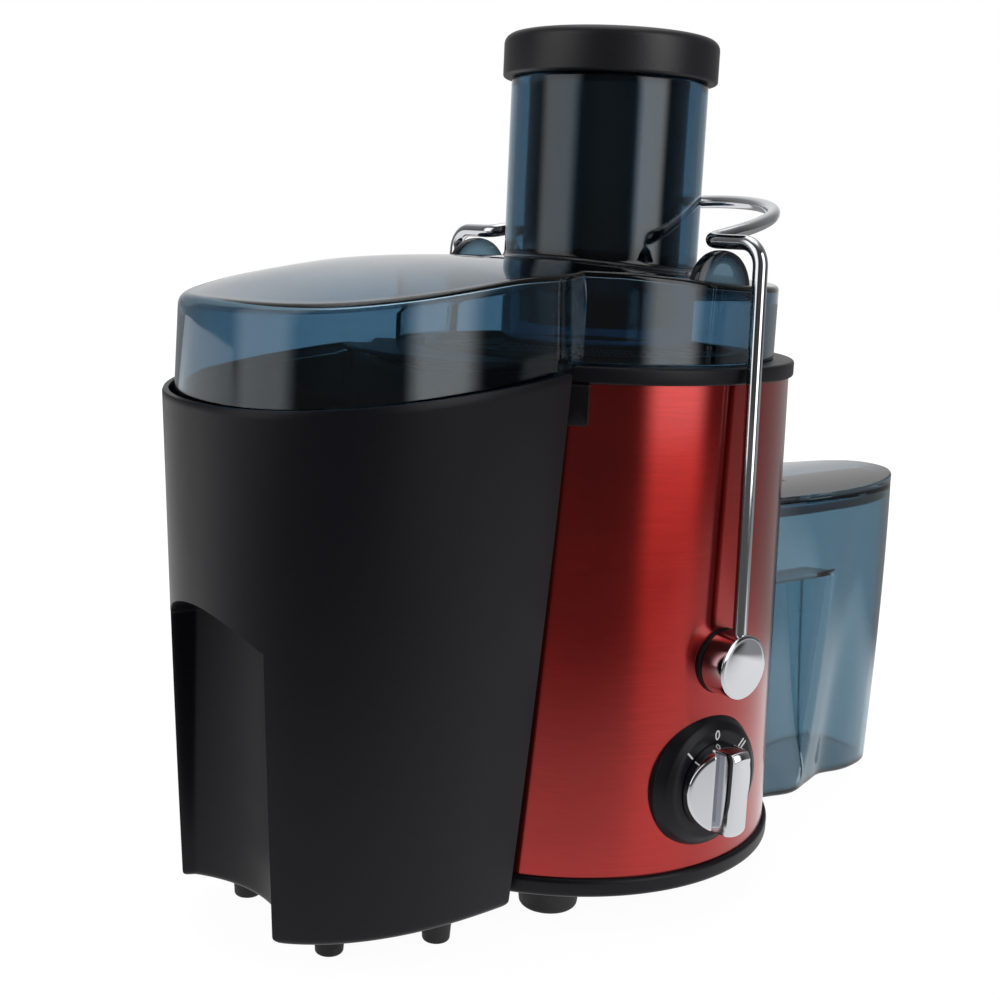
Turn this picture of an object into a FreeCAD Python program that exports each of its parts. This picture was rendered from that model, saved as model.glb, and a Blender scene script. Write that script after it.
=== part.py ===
import FreeCAD, Part
import math
import os

V = FreeCAD.Vector
os.makedirs("parts", exist_ok=True)

# Driving dimensions, in millimetres and degrees.
# The working frame has the motor axis at x = 0, y = 0 and the table at z = 0.
# The pulp container is on the -X side, the juice jug on the +X side, the dial on the -Y side.

# Feet, base and steel body
FOOT_HEIGHT = 14.5
FOOT_RADIUS = 13.0
FOOT_DRAFT = 1.5
FOOT_RECESS_RADIUS = 4.5
FOOT_RECESS = 3.0
POST_OFFSET = 46.0
POST_RADIUS = 5.0
BASE_PROUD = 2.0
BASE_RING_HEIGHT = 7.5
BASE_FLOOR = 3.5
LIP_HEIGHT = 5.0
LIP_WALL = 2.5
SHELL_HEIGHT = 188.5
SHELL_BOTTOM_RADIUS = 89.0
SHELL_TAPER = 3.4
SHELL_WALL = 0.8
RIM_PROUD = 1.8
RIM_HEIGHT = 6.5
VENT_WIDTH = 4.0
VENT_PITCH = 8.0
VENT_LENGTH = 44.0

# Screws and clearances
SCREW_RADIUS = 2.0
SCREW_LENGTH = 20.0
SCREW_HEAD_RADIUS = 4.0
SCREW_HEAD = 1.8
BOLT_HEAD = 3.0
HOLE_GAP = 0.2
SEAT_GAP = 0.1
INSERT_GAP = 0.3
RUNNING_GAP = 0.05

# Deck and juice bowl
WELL_DEPTH = 50.5
WELL_INSET = 12.6
DECK_WALL = 3.0
DECK_FLOOR = 4.0
DECK_RING = 6.0
LEG_THICKNESS = 6.0
LEG_WIDTH = 28.0
LEG_DROP = 28.0
SEAL_RADIUS = 12.0
SEAL_STAND = 1.5
BOWL_GAP = 0.5
BOWL_WALL = 2.5
BOWL_LIFT = 3.5
RIM_WALL = 3.0
CHIMNEY_RADIUS = 18.5
CHIMNEY_HEIGHT = 20.0
SPOUT_REACH = 27.0
SPOUT_WIDTH = 26.0
SPOUT_HEIGHT = 21.0
SPOUT_SLANT = 22.0
SPOUT_GAP = 1.0
PULP_LIP_REACH = 13.0
PULP_LIP_WIDTH = 84.0
PULP_LIP_THICKNESS = 2.0

# Motor
SHAFT_RADIUS = 3.95
BEARING_RADIUS = 11.0
BEARING_WIDTH = 7.0
BUSH_LENGTH = 14.0
BUSH_RADIUS = 6.0
BRACKET_THICKNESS = 8.0
STATOR_WIDTH = 68.0
STATOR_HEIGHT = 45.0
STATOR_BORE = 21.0
AIR_GAP = 0.8
END_TURN = 7.0
END_TURN_WIDTH = 10.0
SLOT_COUNT = 12
SLOT_DEPTH = 3.0
SLOT_WIDTH = 2.0
BOLT_OFFSET = 28.0
COMMUTATOR_RADIUS = 11.0
COMMUTATOR_HEIGHT = 10.0
BRUSH_SIZE = 6.0
BRUSH_LENGTH = 14.7
BRUSH_GAP = 0.3
HOLDER_LENGTH = 18.0
HOLDER_WALL = 1.5
FAN_RADIUS = 34.0
FAN_HEIGHT = 13.0
FAN_BLADES = 9
FAN_SHEET = 2.0

# Sieve and grater
COUPLING_RADIUS = 10.0
COUPLING_HEIGHT = 22.0
COUPLING_LIFT = 5.0
COUPLING_COLLAR = 8.0
COUPLING_FLAT = 1.5
COUPLING_FLAT_WIDTH = 6.0
SIEVE_GAP = 11.0
SIEVE_FLARE = 14.0
SIEVE_HEIGHT = 26.0
SIEVE_WALL = 0.6
SIEVE_RIM = 3.0
SIEVE_FLOOR = 2.0
GRATER_RINGS = 4
GRATER_THICKNESS = 1.0
TOOTH_SIZE = 2.0

# Lid, feed chute and pusher
LID_WALL = 2.5
DRUM_INSET = 8.4
CHUTE_OFFSET = 8.0
CHUTE_RADIUS = 40.0
CHUTE_LENGTH = 107.5
CHUTE_DIP = 30.0
EAR_RADIUS = 15.5
EAR_WIDTH = 5.5
EAR_INSET = 4.0
PUSHER_GAP = 5.0
PUSHER_WALL = 2.0
PUSHER_DEPTH = 98.0
CAP_OVERHANG = 3.6
CAP_HEIGHT = 17.0
CAP_ROUND = 4.0
CAP_GAP = 0.2
ROOF_RISE = 37.0
ROOF_CROWN = 0.0007
ROOF_TILT = 0.055
ROOF_TILT_START = -40.0
ROOF_HOOD_INSET = 2.0
ROOF_HOOD_LENGTH = 99.0
ROOF_HOOD_FALL = 14.0
ROOF_HOOD_POWER = 2.6
ROOF_HOOD_CROWN = 0.005

# Pulp container: half sizes of its outline at the bottom and at the rim, and how far
# the outline's centre stands out from the body
CONTAINER_WALL = 2.5
CONTAINER_FOOT = 12.0
CONTAINER_FOOT_RADIUS = 6.0
CONTAINER_FEET = ((47.5, 29.0), (9.5, 44.0))
CONTAINER_BOTTOM_OUT = -3.1
CONTAINER_BOTTOM_LENGTH = 88.1
CONTAINER_BOTTOM_WIDTH = 58.9
CONTAINER_RIM_OUT = 8.5
CONTAINER_RIM_LENGTH = 81.0
CONTAINER_RIM_WIDTH = 72.3
CONTAINER_RIM_DROP = 2.8
CONTAINER_RIM_AT = 38.5
RIM_SLOPE = 0.123
OUTLINE_POWER = 2.3
BODY_GAP = 0.5
LID_INSET = 4.3
LID_DRAFT = 1.2
LID_SEAT_GAP = 0.5
GRIP_HALF_WIDTH = 32.0
GRIP_TOP = 129.5
GRIP_ARCH_RADIUS = 54.0
GRIP_CURVE = 53.0
GRIP_OUT = 59.5

# Locking arm and its pivots
ARM_WIRE = 5.6
ARM_LIFT = 9.0
ARM_TOP_X = 3.0
ARM_SPREAD = 2.1
ARM_CORNER = 9.0
ARM_LOOP_GAP = 22.0
ARM_LOOP_START = 18.0
ARM_LOOP_BEND = 7.0
ARM_LOOP_RISE = 12.5
ARM_REST_GAP = 0.4
PIVOT_Z = 104.0
PIVOT_PIN_RADIUS = 5.0
PIVOT_BUSH_RADIUS = 8.0
PIVOT_FLANGE_RADIUS = 11.0
PIVOT_FLANGE = 2.0
PIVOT_CAP_RADIUS = 12.6
PIVOT_CAP_LENGTH = 11.0
PIVOT_CAP_ROUND = 1.0
PIN_DEPTH = 4.0
WASHER_RADIUS = 12.9
WASHER_STAND = 2.4
CAM_RADIUS = 12.5
CAM_HUB = 8.5
CAM_WIDTH = 6.0

# Speed dial
DIAL_Z = 56.1
DIAL_TURN = -2.8
DIAL_RADIUS = 27.0
DIAL_STAND = 4.0
DIAL_CHAMFER = 2.0
DIAL_BUSH_RADIUS = 6.5
KNOB_RADIUS = 17.0
KNOB_DISC = 6.0
KNOB_BAR_WIDTH = 10.0
KNOB_BAR_HEIGHT = 12.0
KNOB_GAP = 0.4
KNOB_SPINDLE_RADIUS = 3.0
SWITCH_SIZE = 26.0
SWITCH_DEPTH = 18.0
SWITCH_INSET = 5.0

# Cord gland, terminal block and container catches
GLAND_RADIUS = 8.0
GLAND_FLANGE = 3.0
GLAND_Z = 40.0
CORD_HOLE_RADIUS = 3.6
TERMINAL_Y = 50.0
CATCH_ANGLE = 134.0
CATCH_WIDTH = 9.0
CATCH_HEIGHT = 15.0
CATCH_STAND = 3.5

# Juice jug: half sizes of its outline at the bottom and at the top, set out from the body
JUG_HEIGHT = 148.0
JUG_WALL = 2.2
JUG_BOTTOM_OUT = 50.5
JUG_BOTTOM_LENGTH = 66.0
JUG_BOTTOM_WIDTH = 25.5
JUG_TOP_OUT = 32.5
JUG_TOP_LENGTH = 86.5
JUG_TOP_WIDTH = 35.5
JUG_POWER = 2.4
JUG_GRIP_OUT = 47.5
JUG_GRIP_TOP = 109.0
JUG_GRIP_HALF = 25.0
JUG_GRIP_LEAN = 7.0
JUG_LID_THICKNESS = 2.4
JUG_LID_CROWN = 3.2
JUG_LID_SKIRT = 7.0
JUG_LID_GAP = 0.5
JUG_MOUTH_SIDE = 2.0
JUG_MOUTH_END = 6.0

# Radii that follow from the shell
SHELL_TOP_RADIUS = SHELL_BOTTOM_RADIUS - SHELL_TAPER
BASE_RADIUS = SHELL_BOTTOM_RADIUS + BASE_PROUD
RIM_RADIUS = SHELL_TOP_RADIUS + RIM_PROUD
BODY_CLEAR = BASE_RADIUS + BODY_GAP
WELL_RADIUS = SHELL_TOP_RADIUS - WELL_INSET
DRUM_RADIUS = RIM_RADIUS - DRUM_INSET
SIEVE_TOP_RADIUS = WELL_RADIUS - SIEVE_GAP
SIEVE_BOTTOM_RADIUS = SIEVE_TOP_RADIUS - SIEVE_FLARE
LEG_IN = WELL_RADIUS + DECK_WALL
LEG_OUT = LEG_IN + LEG_THICKNESS
SPOUT_END = SHELL_BOTTOM_RADIUS + SPOUT_REACH
EAR_REACH = DRUM_RADIUS - EAR_INSET
ARM_TOP_Y = RIM_RADIUS + ARM_SPREAD
ARM_LOOP_RADIUS = CHUTE_RADIUS + ARM_LOOP_GAP
CAP_RADIUS = CHUTE_RADIUS + CAP_OVERHANG

# Heights that follow from the stack
BASE_Z = FOOT_HEIGHT
FLOOR_Z = BASE_Z + BASE_FLOOR
SHELL_Z = BASE_Z + BASE_RING_HEIGHT
RIM_Z = SHELL_Z + SHELL_HEIGHT
LID_Z = RIM_Z + RIM_HEIGHT
WELL_Z = RIM_Z - WELL_DEPTH
DECK_UNDER = WELL_Z - DECK_FLOOR
LEG_Z = PIVOT_Z - LEG_DROP
BOWL_Z = WELL_Z + BOWL_LIFT
BRACKET_Z = DECK_UNDER - BUSH_LENGTH - BRACKET_THICKNESS
STATOR_Z = BRACKET_Z - END_TURN - 1.0 - STATOR_HEIGHT
COMMUTATOR_Z = STATOR_Z - END_TURN - COMMUTATOR_HEIGHT
LOWER_BRACKET_Z = COMMUTATOR_Z - 2.0 - BRACKET_THICKNESS
FAN_Z = LOWER_BRACKET_Z - BOLT_HEAD - 1.0 - FAN_HEIGHT
COUPLING_Z = WELL_Z + COUPLING_LIFT
SHAFT_TOP = COUPLING_Z + COUPLING_HEIGHT - 4.0
SIEVE_Z = COUPLING_Z + COUPLING_HEIGHT + 3.0
CHUTE_TOP = LID_Z + CHUTE_LENGTH
CAP_Z = CHUTE_TOP + CAP_GAP
ARM_TOP_Z = LID_Z + ROOF_RISE + ARM_LIFT
CONTAINER_RIM_Z = RIM_Z - CONTAINER_RIM_DROP

# Places along X that follow from the body
CONTAINER_BOTTOM_X = -BODY_CLEAR - CONTAINER_BOTTOM_OUT
CONTAINER_RIM_X = -BODY_CLEAR - CONTAINER_RIM_OUT
GRIP_BACK = -BODY_CLEAR - GRIP_OUT
ROOF_HOOD_START = ROOF_HOOD_INSET - DRUM_RADIUS
JUG_BOTTOM_X = BODY_CLEAR + JUG_BOTTOM_OUT
JUG_TOP_X = BODY_CLEAR + JUG_TOP_OUT
JUG_GRIP_X = BODY_CLEAR + JUG_GRIP_OUT


def shell_radius(z):
    """Outer radius of the tapered steel shell at a height."""
    return SHELL_BOTTOM_RADIUS - SHELL_TAPER * (z - SHELL_Z) / SHELL_HEIGHT


PIVOT_SEAT = shell_radius(PIVOT_Z)
PIVOT_FACE = PIVOT_SEAT + WASHER_STAND
CAP_FACE = PIVOT_FACE + ARM_REST_GAP
PIVOT_END = CAP_FACE + PIVOT_CAP_LENGTH
DIAL_FACE = shell_radius(DIAL_Z) + DIAL_STAND
KNOB_FACE = DIAL_FACE + KNOB_GAP
KNOB_END = KNOB_FACE + KNOB_DISC + KNOB_BAR_HEIGHT

# The exported origin is under the middle of the whole object's box.
CONTAINER_END = CONTAINER_RIM_X - CONTAINER_RIM_LENGTH
JUG_END = JUG_TOP_X + JUG_TOP_LENGTH
KNOB_FRONT = KNOB_END * math.cos(math.radians(DIAL_TURN))
AXIS_X = -(CONTAINER_END + JUG_END) / 2.0
AXIS_Y = (KNOB_FRONT - PIVOT_END) / 2.0


# Small shape helpers

def rod(radius, z0, z1, x=0.0, y=0.0):
    return Part.makeCylinder(radius, z1 - z0, V(x, y, z0))


def tube(outer, inner, z0, z1, x=0.0, y=0.0):
    return rod(outer, z0, z1, x, y).cut(rod(inner, z0 - 1, z1 + 1, x, y))


def taper(r0, r1, z0, z1, x=0.0, y=0.0):
    return Part.makeCone(r0, r1, z1 - z0, V(x, y, z0))


def block(x0, x1, y0, y1, z0, z1):
    return Part.makeBox(x1 - x0, y1 - y0, z1 - z0, V(x0, y0, z0))


def cross_rod(radius, y0, y1, x=0.0, z=0.0):
    """Cylinder along +Y."""
    return Part.makeCylinder(radius, y1 - y0, V(x, y0, z), V(0, 1, 0))


def turned(profile):
    """Solid of revolution about Z of (radius, height) points."""
    points = [V(r, 0, z) for r, z in profile]
    face = Part.Face(Part.makePolygon(points + points[:1]))
    return face.revolve(V(0, 0, 0), V(0, 0, 1), 360)


def fused(shapes):
    return shapes[0].multiFuse(shapes[1:]).removeSplitter()


def mirrored(shape):
    """The same shape on the other side of the X-Z plane."""
    return shape.mirror(V(0, 0, 0), V(0, 1, 0))


def four(shape, offset):
    """Copies of a shape at the four corners of a square."""
    copies = []
    for sx in (-1, 1):
        for sy in (-1, 1):
            copies.append(shape.translated(V(sx * offset, sy * offset, 0)))
    return copies


def outline(cx, length, width, power, z):
    """Closed curve |x/length|^power + |y/width|^power = 1 at a height."""
    count = 32
    points = []
    for i in range(count):
        angle = 2 * math.pi * i / count
        c = math.cos(angle)
        s = math.sin(angle)
        x = cx + length * math.copysign(abs(c) ** (2 / power), c)
        y = width * math.copysign(abs(s) ** (2 / power), s)
        points.append(V(x, y, z))
    curve = Part.BSplineCurve()
    curve.interpolate(Points=points, PeriodicFlag=True)
    return Part.Wire([curve.toShape()])


def cup_form(bottom, top, z0, z1, inset, low, high, power):
    """Drafted solid between two outlines given at z0 and z1, carried on to low and high."""
    wires = []
    for z in (low, high):
        share = (z - z0) / (z1 - z0)
        size = [a + (b - a) * share for a, b in zip(bottom, top)]
        wires.append(outline(size[0], size[1] - inset, size[2] - inset, power, z))
    return Part.makeLoft(wires, True, True)


def below_rim(lift):
    """Block under the sloping plane of the container's rim, raised by lift."""
    x0 = CONTAINER_END - 60
    x1 = RIM_RADIUS
    level_x = -BODY_CLEAR - CONTAINER_RIM_AT
    z0 = CONTAINER_RIM_Z + RIM_SLOPE * (x0 - level_x) + lift
    z1 = CONTAINER_RIM_Z + RIM_SLOPE * (x1 - level_x) + lift
    half = 2 * CONTAINER_RIM_WIDTH
    points = [V(x0, -half, -50), V(x1, -half, -50), V(x1, -half, z1), V(x0, -half, z0)]
    return Part.Face(Part.makePolygon(points + points[:1])).extrude(V(0, 2 * half, 0))


PIECES = {}


def piece(name, *solids):
    PIECES[name] = list(solids)


# Base plate: moulded tray with a proud ring, vents and a lip that centres the shell
def make_base():
    lip_out = SHELL_BOTTOM_RADIUS - SHELL_WALL - INSERT_GAP
    lip_top = lip_out - SHELL_TAPER * LIP_HEIGHT / SHELL_HEIGHT
    lip_in = lip_top - LIP_WALL
    plate = turned([(0, BASE_Z), (BASE_RADIUS, BASE_Z), (BASE_RADIUS, SHELL_Z), (lip_out, SHELL_Z),
                    (lip_top, SHELL_Z + LIP_HEIGHT), (lip_in, SHELL_Z + LIP_HEIGHT),
                    (lip_in, FLOOR_Z), (0, FLOOR_Z)])
    cuts = []
    for i in range(-3, 4):
        half = VENT_LENGTH / 2 - 2 * abs(i)
        y0 = i * VENT_PITCH - VENT_WIDTH / 2
        cuts.append(block(-half, half, y0, y0 + VENT_WIDTH, BASE_Z - 1, FLOOR_Z + 1))
    hole = rod(SCREW_RADIUS + HOLE_GAP, BASE_Z - 1, FLOOR_Z + 1)
    head = rod(SCREW_HEAD_RADIUS + HOLE_GAP, BASE_Z - 1, BASE_Z + SCREW_HEAD)
    cuts += four(hole, POST_OFFSET) + four(head, POST_OFFSET)
    piece("base_plate", plate.cut(cuts))
    foot = taper(FOOT_RADIUS - FOOT_DRAFT, FOOT_RADIUS, 0, BASE_Z)
    piece("rubber_feet", *four(foot.cut(rod(FOOT_RECESS_RADIUS, -1, FOOT_RECESS)), POST_OFFSET))
    screw = fused([rod(SCREW_HEAD_RADIUS, BASE_Z + SEAT_GAP, BASE_Z + SCREW_HEAD),
                   rod(SCREW_RADIUS, BASE_Z + SEAT_GAP, BASE_Z + SCREW_LENGTH)])
    piece("base_screws", *four(screw, POST_OFFSET))


# Red steel shell: a tapered tube with holes for the pivots and dial and a notch for the spout
def make_shell():
    top = RIM_Z
    outer = taper(SHELL_BOTTOM_RADIUS, SHELL_TOP_RADIUS, SHELL_Z, top)
    inner = taper(SHELL_BOTTOM_RADIUS - SHELL_WALL, SHELL_TOP_RADIUS - SHELL_WALL, SHELL_Z, top)
    pivot_hole = cross_rod(PIVOT_BUSH_RADIUS + HOLE_GAP, -BASE_RADIUS, BASE_RADIUS, 0, PIVOT_Z)
    dial_hole = cross_rod(DIAL_BUSH_RADIUS + HOLE_GAP, -BASE_RADIUS, -SHELL_TOP_RADIUS / 2, 0, DIAL_Z)
    cuts = [inner, spout_form(SPOUT_GAP), pivot_hole, on_dial(dial_hole)]
    cuts.append(cross_rod(GLAND_RADIUS, 0, BASE_RADIUS, 0, GLAND_Z))
    piece("body_shell", outer.cut(cuts))


def spout_form(grow):
    """Outside of the juice spout, grown for the notch that it drops into."""
    half = SPOUT_WIDTH / 2 + grow
    top = BOWL_Z + SPOUT_HEIGHT if grow == 0 else RIM_Z + 1
    return block(WELL_RADIUS - 2 * BOWL_WALL, SPOUT_END, -half, half, BOWL_Z - grow, top)


def saddle_form():
    """The shell's outside, grown by the seat gap, for what sits on the shell."""
    return taper(SHELL_BOTTOM_RADIUS + SEAT_GAP, SHELL_TOP_RADIUS + SEAT_GAP, SHELL_Z, RIM_Z)


def on_dial(shape):
    """Turn a shape made about the -Y direction to the direction that the dial faces."""
    return shape.rotated(V(0, 0, 0), V(0, 0, 1), DIAL_TURN)


# Deck: the black inner moulding with the well, two pivot legs and four posts
def make_deck():
    ring_out = SHELL_TOP_RADIUS - SHELL_WALL - INSERT_GAP
    ring_z = RIM_Z - DECK_RING
    well = turned([(0, DECK_UNDER), (LEG_IN, DECK_UNDER), (LEG_IN, ring_z), (ring_out, ring_z),
                   (ring_out, RIM_Z), (WELL_RADIUS, RIM_Z), (WELL_RADIUS, WELL_Z), (0, WELL_Z)])
    half = LEG_WIDTH / 2
    root = block(-half, half, WELL_RADIUS, LEG_OUT, DECK_UNDER, ring_z + 1)
    leg = block(-half, half, LEG_IN, LEG_OUT, LEG_Z, ring_z + 1)
    leg = leg.fuse(root.cut(rod(WELL_RADIUS + 1, DECK_UNDER - 1, RIM_Z)))
    posts = four(rod(POST_RADIUS, FLOOR_Z, WELL_Z - 1), POST_OFFSET)
    deck = fused([well, leg, mirrored(leg)] + posts)
    cuts = [rod(SEAL_RADIUS, DECK_UNDER - 1, WELL_Z + 1), spout_form(SPOUT_GAP)]
    cuts.append(cross_rod(PIVOT_BUSH_RADIUS, -RIM_RADIUS, RIM_RADIUS, 0, PIVOT_Z))
    cuts += four(rod(SCREW_RADIUS, BASE_Z, BASE_Z + SCREW_LENGTH), POST_OFFSET)
    cuts += four(rod(SCREW_RADIUS, DECK_UNDER - 1, WELL_Z - DECK_FLOOR / 2), BOLT_OFFSET)
    piece("top_deck", deck.cut(cuts))
    piece("shaft_seal", tube(SEAL_RADIUS, SHAFT_RADIUS + INSERT_GAP, DECK_UNDER, WELL_Z + SEAL_STAND))


# Juice bowl: black rim on top of the body, bowl in the well, spout and pulp lip
def make_bowl():
    outer = WELL_RADIUS - BOWL_GAP
    inner = outer - BOWL_WALL
    chimney_in = CHIMNEY_RADIUS - BOWL_WALL
    skirt_in = SHELL_TOP_RADIUS - RIM_WALL
    under = LID_Z - RIM_HEIGHT + RIM_WALL
    bowl = turned([(chimney_in, BOWL_Z), (outer, BOWL_Z), (outer, under), (skirt_in, under),
                   (skirt_in, RIM_Z), (RIM_RADIUS, RIM_Z), (RIM_RADIUS, LID_Z), (inner, LID_Z),
                   (inner, BOWL_Z + BOWL_WALL), (CHIMNEY_RADIUS, BOWL_Z + BOWL_WALL),
                   (CHIMNEY_RADIUS, BOWL_Z + CHIMNEY_HEIGHT), (chimney_in, BOWL_Z + CHIMNEY_HEIGHT)])
    half = SPOUT_WIDTH / 2 - BOWL_WALL
    channel_top = BOWL_Z + SPOUT_HEIGHT - BOWL_WALL
    channel = block(inner - 2 * BOWL_WALL, SPOUT_END + 1, -half, half, BOWL_Z + BOWL_WALL, channel_top)
    slant = block(0, SPOUT_WIDTH, -SPOUT_WIDTH, SPOUT_WIDTH, -2 * SPOUT_HEIGHT, 3 * SPOUT_HEIGHT)
    slant.rotate(V(0, 0, 0), V(0, 1, 0), -SPOUT_SLANT)
    slant.translate(V(SPOUT_END - 1, 0, BOWL_Z))
    spout = spout_form(0).cut([rod(inner, BOWL_Z, LID_Z), slant])
    lip_end = RIM_RADIUS + PULP_LIP_REACH
    lip = tube(lip_end, RIM_RADIUS - 1, LID_Z - PULP_LIP_THICKNESS, LID_Z)
    lip = lip.common(block(-lip_end, 0, -PULP_LIP_WIDTH / 2, PULP_LIP_WIDTH / 2, RIM_Z, LID_Z))
    piece("juice_bowl", fused([bowl, spout, lip]).cut(channel))


# Motor: laminated stator between two brackets on four long bolts under the deck
def make_motor():
    half = STATOR_WIDTH / 2
    stator = block(-half, half, -half, half, STATOR_Z, STATOR_Z + STATOR_HEIGHT)
    bolt_holes = four(rod(SCREW_RADIUS, LOWER_BRACKET_Z - 1, DECK_UNDER + 1), BOLT_OFFSET)
    piece("stator_core", stator.cut([rod(STATOR_BORE, STATOR_Z - 1, BRACKET_Z)] + bolt_holes))
    coils = []
    for z in (STATOR_Z - END_TURN + 1, STATOR_Z + STATOR_HEIGHT):
        coils.append(tube(STATOR_BORE + 1 + END_TURN_WIDTH, STATOR_BORE + 1, z, z + END_TURN - 1))
    piece("field_windings", *coils)
    pocket = BEARING_RADIUS
    for name, z in (("upper_bracket", BRACKET_Z), ("lower_bracket", LOWER_BRACKET_Z)):
        plate = block(-half, half, -half, half, z, z + BRACKET_THICKNESS)
        bore = rod(pocket, z + BRACKET_THICKNESS - BEARING_WIDTH, z + BRACKET_THICKNESS + 1)
        vents = []
        for angle in range(0, 360, 90):
            vent = block(pocket + 4, half - 4, -10, 10, z - 1, z + BRACKET_THICKNESS + 1)
            vents.append(vent.rotated(V(0, 0, 0), V(0, 0, 1), angle))
        # The brush holders stand on solid metal, so the lower plate has vents on two sides only.
        vents = vents if z == BRACKET_Z else [vents[1], vents[3]]
        through = rod(SHAFT_RADIUS + 2, z - 1, z + BRACKET_THICKNESS)
        piece(name, plate.cut([bore, through] + vents + bolt_holes))
        bearing = tube(pocket, SHAFT_RADIUS + RUNNING_GAP, z + BRACKET_THICKNESS - BEARING_WIDTH,
                       z + BRACKET_THICKNESS)
        piece(name.replace("bracket", "bearing"), bearing)
    bush = tube(BUSH_RADIUS, SCREW_RADIUS, BRACKET_Z + BRACKET_THICKNESS, DECK_UNDER)
    piece("motor_bushes", *four(bush, BOLT_OFFSET))
    bolt = fused([rod(SCREW_HEAD_RADIUS, LOWER_BRACKET_Z - BOLT_HEAD, LOWER_BRACKET_Z),
                  rod(SCREW_RADIUS, LOWER_BRACKET_Z - 1, WELL_Z - DECK_FLOOR / 2)])
    piece("motor_bolts", *four(bolt, BOLT_OFFSET))
    floor = LOWER_BRACKET_Z + BRACKET_THICKNESS
    middle = COMMUTATOR_Z + COMMUTATOR_HEIGHT / 2
    arm = BRUSH_SIZE / 2
    holders = []
    brushes = []
    for sx in (-1, 1):
        x0 = COMMUTATOR_RADIUS + 2
        x1 = x0 + HOLDER_LENGTH
        wide = arm + HOLDER_WALL
        brush_x = COMMUTATOR_RADIUS + BRUSH_GAP
        holder = block(x0, x1, -wide, wide, floor, middle + wide)
        holder = holder.cut(block(x0 - 1, x1 + 1, -arm, arm, middle - arm, middle + arm))
        brush = block(brush_x, brush_x + BRUSH_LENGTH, -arm, arm, middle - arm, middle + arm)
        turn = 0 if sx > 0 else 180
        holders.append(holder.rotated(V(0, 0, 0), V(0, 0, 1), turn))
        brushes.append(brush.rotated(V(0, 0, 0), V(0, 0, 1), turn))
    piece("brush_holders", *holders)
    piece("carbon_brushes", *brushes)


# Spindle: shaft, armature, commutator, fan and the coupling that the sieve drops on
def make_spindle():
    piece("motor_shaft", rod(SHAFT_RADIUS, FAN_Z - 2, SHAFT_TOP))
    bore = rod(SHAFT_RADIUS, FAN_Z - 2, SHAFT_TOP)
    core = rod(STATOR_BORE - AIR_GAP, STATOR_Z + 1, STATOR_Z + STATOR_HEIGHT - 1)
    slots = []
    for i in range(SLOT_COUNT):
        slot = block(STATOR_BORE - AIR_GAP - SLOT_DEPTH, STATOR_BORE, -SLOT_WIDTH / 2, SLOT_WIDTH / 2,
                     STATOR_Z, STATOR_Z + STATOR_HEIGHT)
        slots.append(slot.rotated(V(0, 0, 0), V(0, 0, 1), 360.0 * i / SLOT_COUNT))
    piece("armature_core", core.cut([bore] + slots))
    turns = []
    for z in (STATOR_Z + 1 - END_TURN, STATOR_Z + STATOR_HEIGHT - 1):
        turns.append(tube(STATOR_BORE - SLOT_DEPTH - 1, SHAFT_RADIUS, z, z + END_TURN))
    piece("armature_windings", *turns)
    drum = rod(COMMUTATOR_RADIUS, COMMUTATOR_Z, COMMUTATOR_Z + COMMUTATOR_HEIGHT)
    piece("commutator", drum.cut(bore))
    hub = rod(SHAFT_RADIUS + 4, FAN_Z, FAN_Z + FAN_HEIGHT)
    disc = rod(FAN_RADIUS, FAN_Z + FAN_HEIGHT - FAN_SHEET, FAN_Z + FAN_HEIGHT)
    blades = []
    for i in range(FAN_BLADES):
        blade = block(SHAFT_RADIUS + 3, FAN_RADIUS - 1, -0.8, 0.8, FAN_Z, FAN_Z + FAN_HEIGHT - 1)
        blades.append(blade.rotated(V(0, 0, 0), V(0, 0, 1), 360.0 * i / FAN_BLADES))
    piece("cooling_fan", fused([hub, disc] + blades).cut(bore))
    coupling = rod(COUPLING_RADIUS, COUPLING_Z, COUPLING_Z + COUPLING_HEIGHT)
    flats = []
    flat_x = COUPLING_RADIUS - COUPLING_FLAT
    flat_half = COUPLING_FLAT_WIDTH / 2
    for i in range(3):
        flat = block(flat_x, COUPLING_RADIUS + 1, -flat_half, flat_half,
                     COUPLING_Z + COUPLING_COLLAR, SIEVE_Z)
        flats.append(flat.rotated(V(0, 0, 0), V(0, 0, 1), 120 * i))
    piece("drive_coupling", coupling.cut([bore] + flats))


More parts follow.
